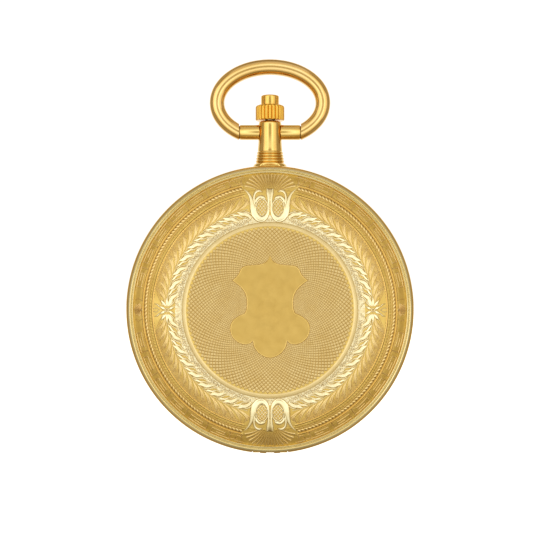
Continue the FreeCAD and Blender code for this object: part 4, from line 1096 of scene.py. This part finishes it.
PAPER, tree, bsdf = material("paper_white", Roughness=0.9, Emission_Color=(1, 1, 1, 1), Emission_Strength=0.9)
join(tint(tree, noise(tree, 30.0, 3.0), (0.90, 0.90, 0.90), (0.93, 0.93, 0.93)), bsdf.inputs["Base Color"])
me = bpy.data.meshes.new("floor")
me.from_pydata([(x, y, 0) for x in (-0.5, 0.5) for y in (-0.5, 0.5)], [], [(0, 2, 3, 1)])
me.materials.append(PAPER)
floor = link("floor", me)
floor.scale = (6.0, 6.0, 1)
floor.location.z = CASE_Z - 0.10
floor.visible_glossy = False

world = bpy.data.worlds.new("studio")
SCENE.world = world
world.use_nodes = True
tree = world.node_tree
back = tree.nodes["Background"]
split = add(tree, "SeparateXYZ")
join(add(tree, "TexCoord").outputs["Generated"], split.inputs[0])
sideways = add(tree, "Math", operation="ABSOLUTE")
join(split.outputs["X"], sideways.inputs[0])
across = add(tree, "CombineXYZ")
for axis in "XZ":
    join(split.outputs[axis], across.inputs[axis])
away = add(tree, "VectorMath", operation="LENGTH")
join(across.outputs[0], away.inputs[0])
cards = add(tree, "ValToRGB")
stops = ((0.0, (0.32, 0.285, 0.178)), (0.16, (0.32, 0.285, 0.178)), (0.27, (0.57, 0.585, 0.50)),
         (0.42, (0.80, 0.82, 0.78)), (0.55, (0.62, 0.64, 0.56)), (0.70, (0.48, 0.455, 0.34)),
         (0.84, (0.28, 0.235, 0.125)), (0.93, (0.13, 0.095, 0.036)), (0.99, (0.19, 0.16, 0.105)))
while len(cards.color_ramp.elements) < len(stops):
    cards.color_ramp.elements.new(0.5)
for element, (at, value) in zip(cards.color_ramp.elements, stops):
    element.position = at
    element.color = (*value, 1)
join(away.outputs["Value"], cards.inputs["Fac"])
sides = ramp(tree, sideways.outputs[0], 1.90, 2.45, 0.18, 0.50)
height = ramp(tree, split.outputs["Z"], 0.92, 1.0, -0.8, 0.8)
front = add(tree, "Math", operation="MULTIPLY")
join(sides, front.inputs[0])
join(height, front.inputs[1])
lit = add(tree, "VectorMath", operation="SCALE")
join(cards.outputs["Color"], lit.inputs[0])
join(front.outputs[0], lit.inputs["Scale"])
behind = ramp(tree, split.outputs["Y"], 0.0, 1.0, 0.45, 0.85)
reflected = blend(tree, behind, lit.outputs[0], (1.12, 1.12, 1.12))
rays = add(tree, "LightPath")
join(blend(tree, rays.outputs["Is Camera Ray"], reflected, (1.1, 1.1, 1.1)), back.inputs["Color"])
back.inputs["Strength"].default_value = 1.0


def softbox(name, size, at, power):
    """A rectangular light aimed at the middle of the case."""
    light = bpy.data.lights.new(name, "AREA")
    light.shape = "RECTANGLE"
    light.size, light.size_y = size
    light.energy = power
    ob = link(name, light)
    ob.location = at
    ob.rotation_euler = (Vector((0, 0, CASE_Z)) - Vector(at)).to_track_quat("-Z", "Y").to_euler()


softbox("key_left", (0.22, 0.34), (-0.34, -0.26, CASE_Z + 0.12), 0.12)
softbox("key_right", (0.18, 0.34), (0.36, -0.22, CASE_Z + 0.05), 0.08)
softbox("top", (0.45, 0.2), (0.0, -0.16, CASE_Z + 0.42), 0.10)

cam = link("camera", bpy.data.cameras.new("camera"))
SCENE.camera = cam
cam.data.sensor_width = 36.0
cam.data.lens = 70.0
cam.data.clip_start = 0.01
cam.location = (0, -0.185, CASE_Z + 0.00687)
cam.rotation_euler = (math.pi / 2, 0, 0)

SCENE.view_settings.view_transform = "Standard"
